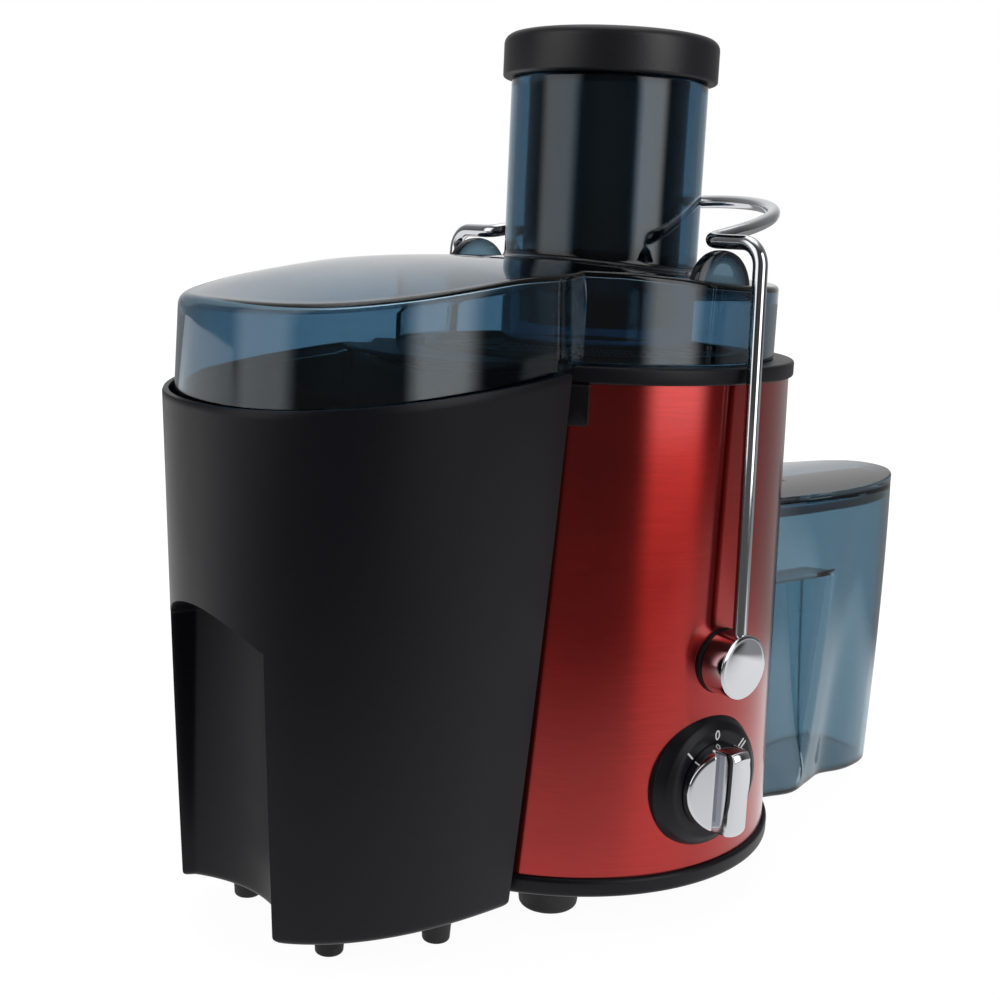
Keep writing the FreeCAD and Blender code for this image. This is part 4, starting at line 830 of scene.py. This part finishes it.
def catch(turn):
    """Tab on the shell at an angle: a rounded upright rectangle carried outwards from the steel."""
    loop = rounded(upright(CATCH_HALF, CATCH_LOW, CATCH_TOP), [1.2, 1.2, 0.4, 0.4])
    middle = loop.mean(0)
    out = np.array([84.6, 84.6, 88.6, 89.1, 89.1])[:, None]
    shrink = np.array([0, 1, 1, 0.9, 0])[:, None, None]
    across, z = np.moveaxis(middle + (loop - middle) * shrink, -1, 0)
    c = math.cos(turn)
    s = math.sin(turn)
    return points(out * c - across * s, out * s + across * c, z)


catches = moulded("container_clips", [(catch(turn), False, True) for turn in (CATCH_TURN, -CATCH_TURN)])
dress(catches, SATIN_BLACK, "base", "black_plastic", "container_catches")

# Locking arm
# A bar of bright chromed steel wire bent in one piece: up from the front pivot, over the ear, round
# behind the chute as a handle, and down to the rear pivot. It holds the lid down.
WIRE_RADIUS = 2.8
ARM_FOOT = np.array([0.0, -95.8, 109.3])
ARM_CORNER = np.array([3.0, -89.5, 263.0])
ARM_TURN = np.array([3.0, -62.0, 263.0])
LOOP_START = 18.0
LOOP_RADIUS = 62.0
LOOP_RISE = math.radians(12.5)


def on_loop(u, v):
    """Point of the handle's plane: u along its slope from the arm's top, v across."""
    return points(ARM_TURN[0] + u * math.cos(LOOP_RISE), v, ARM_TURN[2] + u * math.sin(LOOP_RISE))


def bend(before, at, after, radius, steps):
    """Arc of a radius that rounds the corner at a point between the points before and after it."""
    a = (before - at) / np.linalg.norm(before - at)
    b = (after - at) / np.linalg.norm(after - at)
    half = math.acos(float(a @ b)) / 2
    reach = radius / math.tan(half)
    return corner_arc(at + a * reach, at, at + b * reach, math.sin(half), np.linspace(0, 1, steps)[:, None])


def straight(a, b, steps):
    """Points between two ends, without the ends."""
    return a + (b - a) * np.linspace(0, 1, steps + 2)[1:-1, None]


loop_start = on_loop(LOOP_START, -LOOP_RADIUS)
first_bend = bend(ARM_FOOT, ARM_CORNER, ARM_TURN, 9.0, 16)
second_bend = bend(ARM_CORNER, ARM_TURN, loop_start, 7.0, 14)
loop_turn = np.linspace(-np.pi / 2, np.pi / 2, 60)
handle = on_loop(LOOP_START + LOOP_RADIUS * np.cos(loop_turn), LOOP_RADIUS * np.sin(loop_turn))
near_side = np.concatenate([ARM_FOOT[None], straight(ARM_FOOT, first_bend[0], 24), first_bend,
                            straight(first_bend[-1], second_bend[0], 4), second_bend,
                            straight(second_bend[-1], loop_start, 3)])
arm_path = np.concatenate([near_side, handle, near_side[::-1] * (1, -1, 1)])


def wire(path, radius, sides=20):
    """Round wire along a path: at each point a circle square to the path, in a frame set by one direction
    that the path never takes; the ends shrink to a point."""
    along = np.gradient(path, axis=0)
    along /= np.linalg.norm(along, axis=1, keepdims=True)
    guide = np.cross(along, np.array([[1.0, 0.02, 0.35]]))
    guide /= np.linalg.norm(guide, axis=1, keepdims=True)
    other = np.cross(along, guide)
    a = turns(sides)[None, :, None]
    tube = path[:, None] + radius * (np.cos(a) * guide[:, None] + np.sin(a) * other[:, None])
    return np.concatenate([np.repeat(path[:1, None], sides, 1), tube, np.repeat(path[-1:, None], sides, 1)])


CHROME = grained("bright_chrome", {"Base Color": (0.66, 0.67, 0.7, 1), "Metallic": 1.0},
                 (700.0, 40.0), 0.0, 0.1, 0.05)
arm = moulded("locking_bar", [(wire(arm_path, WIRE_RADIUS), False, True)], 50)
dress(arm, CHROME, "arm", "chrome", "locking_arm")

# Arm pivots
# Chromed barrels with a flat polished face hold the wire's ends and turn with it on steel pins. A
# black washer, shaped to the shell, lies under each.
PIVOT_HEIGHT = 104.0
BARREL_RADIUS = 12.6
BARREL_LOW = 88.6
BARREL_FACE = 99.2
FACE_RADIUS = 11.2
FACE_DOME = 1.15
WASHER_RADIUS = 12.9
WASHER_BORE = 5.3


def cross_turned(profile, side, height):
    """Surface of revolution about a level axis along Y at a height: profile points (r, distance in Y)."""
    across, up, out = np.moveaxis(turned(profile), -1, 0)
    return points(across, side * out, height + up)


dome = np.linspace(1, 0, 12)
barrel_side = rounded([(0, BARREL_LOW), (BARREL_RADIUS, BARREL_LOW), (BARREL_RADIUS, 98.8),
                       (11.4, BARREL_FACE), (0, BARREL_FACE)], [0, 0.4, 0.5, 0.2, 0], 6)[:-6]
barrel_end = points(FACE_RADIUS * dome, BARREL_FACE + FACE_DOME * (1 - dome ** 2))
barrel_profile = np.concatenate([barrel_side, barrel_end])
for name, node, side in (("front_barrel", "front_pivot_cap", -1), ("rear_barrel", "rear_pivot_cap", 1)):
    barrel = moulded(name, [(cross_turned(barrel_profile, side, PIVOT_HEIGHT), True, False)])
    dress(barrel, CHROME, "arm", "chrome", node)
washer_profile = rounded([(WASHER_BORE, 82), (WASHER_RADIUS, 82), (WASHER_RADIUS, 88.3), (WASHER_BORE, 88.3)],
                         [0, 0, 0.5, 0.3])
washer_pair = [(cross_turned(washer_profile, side, PIVOT_HEIGHT), True, True) for side in (-1, 1)]
washers = moulded("pivot_discs", washer_pair)
dress(washers, SATIN_BLACK, "base", "black_plastic", "pivot_washers")

# Speed dial
# A thick black plate with a bevelled edge, screwed on the shell through the rotary switch's neck. The
# switch's steps are printed in white on its face.
DIAL_TURN = math.radians(-2.8)
DIAL_HEIGHT = 56.1
DIAL_RADIUS = 27.0
DIAL_BORE = 6.5
DIAL_BACK = 80.0
DIAL_FACE = 92.4
MARK_REACH = 19.9
MARK_CLOCK = 0.79
MARK_STEPS = 40
MARK_HALF = 2.0


def on_dial(across, out, up):
    """Points about the dial's centre, turned to face the way the dial faces."""
    c = math.cos(DIAL_TURN)
    s = math.sin(DIAL_TURN)
    return points(across * c + out * s, across * s - out * c, DIAL_HEIGHT + up)


dial_profile = rounded([(DIAL_BORE, DIAL_BACK), (DIAL_RADIUS, DIAL_BACK), (DIAL_RADIUS, 86.6), (24.6, 90.6),
                        (21.6, DIAL_FACE), (DIAL_BORE, DIAL_FACE)], [0, 0, 1.2, 3.0, 3.0, 0.2], 8)
dial_across, dial_up, dial_out = np.moveaxis(turned(dial_profile), -1, 0)
dial = moulded("dial_disc", [(on_dial(dial_across, dial_out, dial_up), True, True)], 40)
dress(dial, SATIN_BLACK, "base", "black_plastic", "dial_plate")


def printed(loop_in, loop_out, clock):
    """Flat print on the dial: the band between two loops of (across, up), turned to a clock angle at a reach
    from the centre, 0.12 mm proud with its edge closed to the face."""
    c = math.cos(clock)
    s = math.sin(clock)
    rows = []
    for loop, lift in ((loop_in, -0.05), (loop_in, 0.12), (loop_out, 0.12), (loop_out, -0.05)):
        across = loop[:, 0]
        up = loop[:, 1] + MARK_REACH
        rows.append(on_dial(across * c + up * s, DIAL_FACE + lift, up * c - across * s))
    return np.stack(rows)


def oval(middle, half_width, half_height, power=1.0):
    """Loop |x/a|^(2/p) + |y/b|^(2/p) = 1 about a point on the X axis, squared off for a small p."""
    t = turns(MARK_STEPS)
    return points(middle + half_width * bulged(np.cos(t), power), half_height * bulged(np.sin(t), power))


marks = [printed(oval(0.0, 0.62, 1.35), oval(0.0, 1.25, MARK_HALF), 0.0)]
for clock, middle in ((-MARK_CLOCK, 0.0), (MARK_CLOCK, -0.85), (MARK_CLOCK, 0.85)):
    marks.append(printed(oval(middle, 0.0, 0.0), oval(middle, 0.38, MARK_HALF, 0.35), clock))
PRINT_WHITE = grained("dial_print", {"Base Color": (0.8, 0.8, 0.8, 1)}, (2500.0, 200.0), 0.2, 0.6, 0.45)
dial_print = moulded("dial_marks", [(mark, True, True) for mark in marks])
dress(dial_print, PRINT_WHITE, "base", "black_plastic")

# Speed knob
# A chromed plastic knob: a thick disc with a tall grip bar across it, the sides scooped away from the
# bar for the fingers. It is pushed on the switch's flatted spindle.
KNOB_RADIUS = 17.0
KNOB_FACE = 92.8
BAR_HEIGHT = 14.0
BAR_HALF = 5.4
WING_RIM = 3.0
WING_RISE = 4.2
GROOVE = 3.5
KNOB_ROUND = 1.0

knob_flank = np.concatenate([np.linspace(0.22, 0.355, 20), np.linspace(0.36, 1, 26)])
knob_x = np.concatenate([-knob_flank[::-1], np.linspace(-0.21, 0.21, 18), knob_flank])[:, None] * KNOB_RADIUS
knob_s = np.sin(np.linspace(-np.pi / 2, np.pi / 2, 61))[None, :]
knob_z = knob_s * np.sqrt(np.maximum(KNOB_RADIUS ** 2 - knob_x ** 2, 0))


def knob_height(x, z):
    """Height of the knob's face: a 14 mm bar with a soft top, a groove at its foot, and on each side a wing
    that rises from the rim to a ridge 7.5 mm from the middle; all rounded off by 1 mm at the rim."""
    out = np.sqrt(x * x + z * z)
    bar = soft_step((BAR_HALF - np.abs(x)) / 1.3)
    top = BAR_HEIGHT - 0.03 * x * x - soft_step((out - 14.2) / 2.8)
    wing = WING_RIM + WING_RISE * np.clip((KNOB_RADIUS - np.abs(x)) / 9, 0, 1)
    wing = wing - GROOVE * soft_step((7.7 - np.abs(x)) / 2.0)
    past = np.clip(out - KNOB_RADIUS + KNOB_ROUND, 0, KNOB_ROUND)
    rim = KNOB_ROUND - np.sqrt(np.maximum(KNOB_ROUND ** 2 - past ** 2, 0))
    return wing + (top - wing) * bar - rim


knob_top = on_dial(knob_x, KNOB_FACE + knob_height(knob_x, knob_z), knob_z)
knob_back = on_dial(knob_x, KNOB_FACE, knob_z)
knob = moulded("dial_knob", [(np.concatenate([knob_top, knob_back[:, ::-1]], 1), False, True)], 40)
dress(knob, CHROME, "knob", "chrome", "speed_knob")

# Cord gland
# A round black bush low on the back that guides the mains lead out of the body and takes its strain. It
# snaps into a hole in the steel.
GLAND_HEIGHT = 40.0
gland_profile = rounded([(3.6, 80), (8, 80), (11, 86), (11, 91.7), (3.6, 91.7)], [0, 0, 0, 1.2, 1.0])
gland = moulded("lead_bush", [(cross_turned(gland_profile, 1, GLAND_HEIGHT), True, True)])
dress(gland, RUBBER, "base", "black_plastic", "cord_gland")

# Juice jug
# A narrow smoky clear jug, injection moulded, that stands close against the body under the spout. Each
# side has a finger grip: a panel that leans in under a step, ended by a short return wall.
JUG_TOP = 148.0
JUG_WALL = 2.2
JUG_CURL = 2.0
JUG_MIDDLE = 150.0
STEP_HEIGHT = 109.0
STEP_SOFT = 0.8
GRIP_END = 137.5
RETURN_LENGTH = 6.0


def grip_panel(z):
    """Half width at the grip's panel, which leans in by 0.064 and flares by up to 4 mm at the table."""
    return 25 + 4 * np.exp(-(z / 22) ** 2) - 0.064 * z


def jug_side(x, z, inset):
    """Half width of the jug at x and height z: the curve |x/a|^p + |y/b|^p = 1, from a long low oval with
    p = 4 at the table to a wider one with p = 2.4 at the rim, with a waist and a swell that fade upwards."""
    share = z / JUG_TOP
    middle = 142 - 18 * share
    half_length = 66 + 20.5 * share - inset
    half_width = 24 + 11.5 * share - inset
    power = 4 - 1.6 * share
    body = half_width * np.maximum(1 - np.abs((x - middle) / half_length) ** power, 0) ** (1 / power)
    swell = 0.2 * np.exp(-((x - 130) / 13) ** 2)
    waist = 0.155 * np.exp(-((x - 163) / 11) ** 2)
    return body * (1 + (1 - share) * (swell - waist))


def jug_rows(z, inset):
    """Outline of the jug at each height (rows): along the grip by x, on round the far end by angle, back, and
    across the body's side on a circle about its axis. Under the step the grip's panel lies deeper than the
    wall, and a quarter of an ellipse leads from it out to the wall."""
    tip = 208 + 2.5 * z / JUG_TOP - inset
    body = BODY_CLEAR + inset

    def by_body(x):
        return x * x + jug_side(x, z, inset) ** 2 < body * body

    start = edge_between(np.full_like(z, 70.0), np.full_like(z, 112.0), by_body, 40)[1]
    grip_end = GRIP_END + inset
    end = grip_end + RETURN_LENGTH
    grip_x = start + (grip_end - start) * np.linspace(0, 1, 26)[None, :]
    return_x = end - RETURN_LENGTH * np.cos(np.linspace(0, np.pi / 2, 17))[None, 1:] + 0 * z
    round_x = end + (tip - end) * np.sin(np.linspace(0, np.pi / 2, 60))[None, 1:]
    x = np.concatenate([grip_x, return_x, round_x], 1)
    y = jug_side(x, z, inset)
    panel = np.minimum(y, grip_panel(z) - inset)
    under = soft_step((STEP_HEIGHT + inset + STEP_SOFT - z) / (2 * STEP_SOFT))
    turn_in = 1 - np.sqrt(1 - np.clip((end - x) / RETURN_LENGTH, 0, 1) ** 2)
    y = y + (panel - y) * under * turn_in
    x = np.maximum(x, np.sqrt(np.maximum(body ** 2 - y ** 2, 0)))
    hug = y[:, :1] * np.linspace(1, -1, 22)[None, 1:-1]
    x = np.concatenate([x, x[:, -2::-1], np.sqrt(body ** 2 - hug ** 2)], 1)
    y = np.concatenate([y, -y[:, -2::-1], -hug], 1)
    return points(x, y, z)


def jug_climb(low, inset):
    """Heights of the wall's rows, gathered at the step."""
    step = STEP_HEIGHT + inset
    return np.concatenate([np.linspace(low, step - 1, 40), np.linspace(step - STEP_SOFT, step + STEP_SOFT, 9),
                           np.linspace(step + 1.2, JUG_TOP - 0.6, 16)])[:, None]


jug_low = curled_edge(jug_rows, 0.0, JUG_CURL, 6)
jug_out = jug_rows(jug_climb(JUG_CURL, 0.0), 0.0)
jug_in = jug_rows(jug_climb(JUG_WALL + 0.3, JUG_WALL), JUG_WALL)[::-1]
jug_grid = np.concatenate([floor_rows(jug_low[:1], JUG_MIDDLE, 0.0, 5), jug_low, jug_out,
                           rim_rows(jug_out[-1:], jug_in[:1], 0.8, 0.6), jug_in,
                           floor_rows(jug_in[-1:], JUG_MIDDLE, JUG_WALL, 5)[::-1]])
jug = moulded("clear_jug", [(jug_grid, False, True)], 40)


def jug_painted_shade(x, y, z):
    """Painted dark lines of the jug, in place of shade: its lower edge, the ledge of each grip and its rim,
    and the corner where the grip's panel meets the return wall; its floor is painted a little darker than its
    walls."""
    skin = np.exp(-((jug_side(x, z, 0) - np.abs(y)) / 2.0) ** 2)
    floor_share = 0.3 * soft_step((3.2 - z) / 0.6)
    lower_edge = 0.9 * skin * soft_step((3.4 - z) / 1.4)
    ledge = np.exp(-((z - STEP_HEIGHT - 1.0) / 1.3) ** 2) * soft_step((GRIP_END + 3 - x) / 2)
    ledge = ledge * (0.4 + 0.55 * skin)
    off_corner = ((x - GRIP_END) ** 2 + (np.abs(y) - grip_panel(z)) ** 2) / 0.7 ** 2
    corner = 0.95 * np.exp(-off_corner) * soft_step((STEP_HEIGHT - z) / 2)
    return np.maximum.reduce([floor_share, lower_edge, ledge, corner])


paint_edge_shade(jug, jug_painted_shade)
PALE_SMOKE = smoke_finish("pale_smoky_clear", (0.27, 0.40, 0.475), 1.45, 0.02)
dress(jug, PALE_SMOKE, "jug", "smoke_plastic", "juice_jug")

# Jug lid
# A crowned clear cover with a skirt that plugs into the jug. It is cut away at the body, where the
# spout's mouth comes in over the jug.
LID_LOW = 148.25
LID_EDGE = 2.4
LID_CROWN = 3.2
SKIRT_LOW = 141.25
SKIRT_INSET = JUG_WALL + 0.5
SKIRT_WALL = 1.8
SKIRT_STEPS = 150
SKIRT_END = 2.45
MOUTH_HALF = 15.0
MOUTH_END = 122.0
OVAL_X = 124.0
OVAL_LENGTH = 86.5
OVAL_WIDTH = 35.5
OVAL_POWER = 2.4

mouth_sides = [-MOUTH_HALF - 0.01, -MOUTH_HALF, MOUTH_HALF, MOUTH_HALF + 0.01]
across = np.sin(np.linspace(-np.pi / 2, np.pi / 2, 90)) * (OVAL_WIDTH - 0.05)
across = np.sort(np.concatenate([across, mouth_sides]))[:, None]


def lid_ends(y):
    """Where the jug's lid starts and ends along X at each y: from the body's circle, or the mouth's cut in
    the middle, to the rim's oval."""
    reach = OVAL_LENGTH * np.maximum(1 - np.abs(y / OVAL_WIDTH) ** OVAL_POWER, 0) ** (1 / OVAL_POWER)
    start = np.maximum(OVAL_X - reach, np.sqrt(BODY_CLEAR ** 2 - y * y))
    return np.where(np.abs(y) <= MOUTH_HALF, np.maximum(start, MOUTH_END), start), OVAL_X + reach


lid_start, lid_end = lid_ends(across)
line = 0.5 - 0.5 * np.cos(np.linspace(0, np.pi, 64))[None, :]
cover_x = lid_start + (lid_end - lid_start) * line
near_edge = np.clip(1 - np.minimum(line, 1 - line) * 60, 0, 1)
edge_fall = 1.1 * (1 - np.sqrt(np.maximum(1 - near_edge ** 2, 0)))
crown = LID_LOW + LID_EDGE + LID_CROWN * (1 - (across / OVAL_WIDTH) ** 2)
cover_top = points(cover_x, across, crown - edge_fall)
cover = np.concatenate([cover_top, points(cover_x[:, ::-1], across, LID_LOW)], 1)


def skirt_line(inset):
    """Line of the lid's skirt from the mouth's one side round the far end to the other: the rim's oval by
    angle, held outside the body's circle."""
    t = np.linspace(-SKIRT_END, SKIRT_END, SKIRT_STEPS)
    x = OVAL_X + (OVAL_LENGTH - inset) * bulged(np.cos(t), 2 / OVAL_POWER)
    y = (OVAL_WIDTH - inset) * bulged(np.sin(t), 2 / OVAL_POWER)
    return points(np.maximum(x, np.sqrt(np.maximum((BODY_CLEAR + inset) ** 2 - y * y, 0))), y)


outer_line = skirt_line(SKIRT_INSET)[:, None]
inner_line = skirt_line(SKIRT_INSET + SKIRT_WALL)[:, None]
skirt_share = np.array([0, 0, 0.2, 0.8, 1, 1])
skirt_z = np.array([LID_LOW + 0.3, SKIRT_LOW + 0.5, SKIRT_LOW, SKIRT_LOW, SKIRT_LOW + 0.5, LID_LOW + 0.3])
skirt_x, skirt_y = np.moveaxis(outer_line + (inner_line - outer_line) * skirt_share[:, None], -1, 0)
skirt = points(skirt_x, skirt_y, skirt_z)
skirt_ends = [np.repeat(end.mean(1, keepdims=True), len(skirt_z), 1) for end in (skirt[:1], skirt[-1:])]
skirt = np.concatenate([skirt_ends[0], skirt, skirt_ends[1]])
jug_lid = moulded("clear_jug_lid", [(cover, False, True), (skirt, False, True)], 40)


def cover_painted_shade(x, y, z):
    """Painted dark rim of the cover, in place of shade: within a millimetre or two of where it starts and
    ends along X.
    """
    first, last = lid_ends(np.clip(y, -35.4, 35.4))
    edge = np.minimum(last - x, x - first)
    return 0.5 * np.exp(-(edge / 1.4) ** 2) * (z > LID_LOW - 0.1)


paint_edge_shade(jug_lid, cover_painted_shade)
dress(jug_lid, SMOKE, "jug_lid", "smoke_plastic", "jug_lid")

# Floor
# A plain white studio sweep. Near the machine it is matte and takes its shadow, and farther out it
# runs into the white of the backdrop; behind the camera and far to the right it lies in the dim.
CAMERA_AZIMUTH = math.radians(40.66261)
AHEAD = (math.sin(CAMERA_AZIMUTH), math.cos(CAMERA_AZIMUTH))
SWEEP_END_TURN = math.radians(12)
SWEEP_END = (math.cos(SWEEP_END_TURN), math.sin(SWEEP_END_TURN), 0)
FLOOR_RADIUS = 6.0
FLOOR_DROP = 0.0004
FLOOR_WHITE = 1.08

floor_reach = np.concatenate([[0], np.geomspace(0.05, FLOOR_RADIUS, 40)])
floor_turn = turns(96)[:, None]
floor_flat = points(floor_reach * np.cos(floor_turn), floor_reach * np.sin(floor_turn), -FLOOR_DROP)
floor = moulded("floor", [(floor_flat * 1000 - MOTOR_AXIS, True, False)])
if floor.data.polygons[0].normal.z < 0:
    floor.data.flip_normals()


def dot(tree, spot, direction):
    """How far a point lies along a direction: their dot product."""
    return put(tree, "VectorMath", {0: spot, 1: direction}, operation="DOT_PRODUCT").outputs["Value"]


WHITE_FLOOR = finish("white_sweep", {"Base Color": (0.86, 0.86, 0.86, 1), "Roughness": 0.7})
tree = WHITE_FLOOR.node_tree
where = object_spots(tree)
away = put(tree, "VectorMath", {0: where}, operation="LENGTH").outputs["Value"]
ray = put(tree, "LightPath", {}).outputs
seen = reckon(tree, "MAXIMUM", ray["Is Camera Ray"], ray["Is Glossy Ray"])
seen = reckon(tree, "MAXIMUM", seen, ray["Is Transmission Ray"])
amount = reckon(tree, "MULTIPLY", ramp(tree, away, (0.14, 0.45), 0.89, 1.0, "SMOOTHSTEP"), seen)
behind_camera = ramp(tree, dot(tree, where, (*AHEAD, 0)), (-0.55, -0.06), 0.1, 1.0, "SMOOTHSTEP")
far_right = ramp(tree, dot(tree, where, SWEEP_END), (0.28, 0.44), 1.0, 0.3, "SMOOTHSTEP")
mirrored = reckon(tree, "MINIMUM", ray["Glossy Depth"], 1.0)
glow = blend(tree, mirrored, FLOOR_WHITE, reckon(tree, "MULTIPLY", behind_camera, far_right), "FLOAT")
white = put(tree, "Emission", {"Strength": glow})
sweep = put(tree, "MixShader", {"Fac": amount, 1: surface(WHITE_FLOOR).outputs["BSDF"],
                                2: white.outputs["Emission"]})
feed(tree.nodes["Material Output"], {"Surface": sweep.outputs["Shader"]})
floor.data.materials.append(WHITE_FLOOR)

# Studio
# Two soft boxes stand left and right of the camera and a large one hangs overhead. The backdrop behind
# is white, with dark flags at its two sides, and the room behind the camera is dim.
AIM_HEIGHT = 0.17
MIRROR_SHARE = 0.68


def soft_box(name, azimuth, distance, height, width, tall, glow):
    """Rectangular lamp that faces the machine: its power is pi times its area times its brightness, and its
    light fades towards its two sides."""
    lamp = bpy.data.lights.new(name, "AREA")
    lamp.shape = "RECTANGLE"
    lamp.size = width
    lamp.size_y = tall
    lamp.energy = math.pi * width * tall * glow
    lamp.use_nodes = True
    tree = lamp.node_tree
    spot = put(tree, "NewGeometry", {}).outputs["Parametric"]
    sideways = put(tree, "SeparateXYZ", {"Vector": spot}).outputs["X"]
    off_middle = reckon(tree, "ABSOLUTE", reckon(tree, "SUBTRACT", sideways, 0.5))
    feed(tree.nodes["Emission"], {"Strength": ramp(tree, off_middle, (0.5, 0.2), kind="SMOOTHSTEP")})
    holder = bpy.data.objects.new(name, lamp)
    a = math.radians(azimuth)
    holder.location = (distance * math.cos(a), distance * math.sin(a), height)
    holder.rotation_euler = (math.atan2(distance, height - AIM_HEIGHT), 0, a + math.pi / 2)
    holder.visible_camera = False
    bpy.context.scene.collection.objects.link(holder)


soft_box("right_box", 279, 1.7, 0.75, 1.5, 1.9, 2.5)
soft_box("left_box", 168, 1.7, 0.75, 1.9, 1.9, 1.4)
soft_box("top_box", 40, 0.35, 1.9, 1.8, 1.6, 1.0)

# Seen straight or through clear plastic the backdrop is white all round; what a surface mirrors is the room.
world = bpy.data.worlds.new("studio")
bpy.context.scene.world = world
world.use_nodes = True
tree = world.node_tree
where = put(tree, "TexCoord", {}).outputs["Generated"]
room = ramp(tree, dot(tree, where, (*AHEAD, 0.35)), (-0.35, 0.85), 0.06, 0.8, "SMOOTHSTEP")
aside = reckon(tree, "ABSOLUTE", dot(tree, where, (-AHEAD[1], AHEAD[0], 0)))
flags = ramp(tree, aside, (0.1, 0.7), 1.0, 0.3, "SMOOTHSTEP")
ray = put(tree, "LightPath", {}).outputs
seen = reckon(tree, "MAXIMUM", ray["Is Camera Ray"], ray["Is Transmission Ray"])
straight_through = reckon(tree, "MULTIPLY_ADD", ray["Glossy Depth"], -MIRROR_SHARE, seen, clamp=True)
level = blend(tree, straight_through, reckon(tree, "MULTIPLY", room, flags), 1.0, "FLOAT")
feed(tree.nodes["Background"], {"Color": (1, 1, 1, 1), "Strength": level})

# Camera
# The photograph's point of view: left of the front, a little above the rim, with a slight roll.
CAMERA_PITCH = math.radians(10.49515)
CAMERA_ROLL = math.radians(2.55249)
CAMERA_SPOT = (np.array([-418.922, -439.975, 263.176]) + MOTOR_AXIS) / 1000

forward = np.array([*(math.cos(CAMERA_PITCH) * a for a in AHEAD), -math.sin(CAMERA_PITCH)])
level_right = np.array([AHEAD[1], -AHEAD[0], 0.0])
level_up = np.cross(level_right, forward)
right = math.cos(CAMERA_ROLL) * level_right + math.sin(CAMERA_ROLL) * level_up
up = -math.sin(CAMERA_ROLL) * level_right + math.cos(CAMERA_ROLL) * level_up
lens = bpy.data.cameras.new("photo_view")
lens.lens = 52.2
lens.sensor_width = 36.0
lens.clip_start = 0.01
view = bpy.data.objects.new("photo_view", lens)
pose = np.eye(4)
pose[:3, :4] = np.stack([right, up, -forward, CAMERA_SPOT], 1)
view.matrix_world = Matrix(pose.tolist())
bpy.context.scene.collection.objects.link(view)
bpy.context.scene.camera = view
bpy.context.scene.view_settings.view_transform = "Standard"
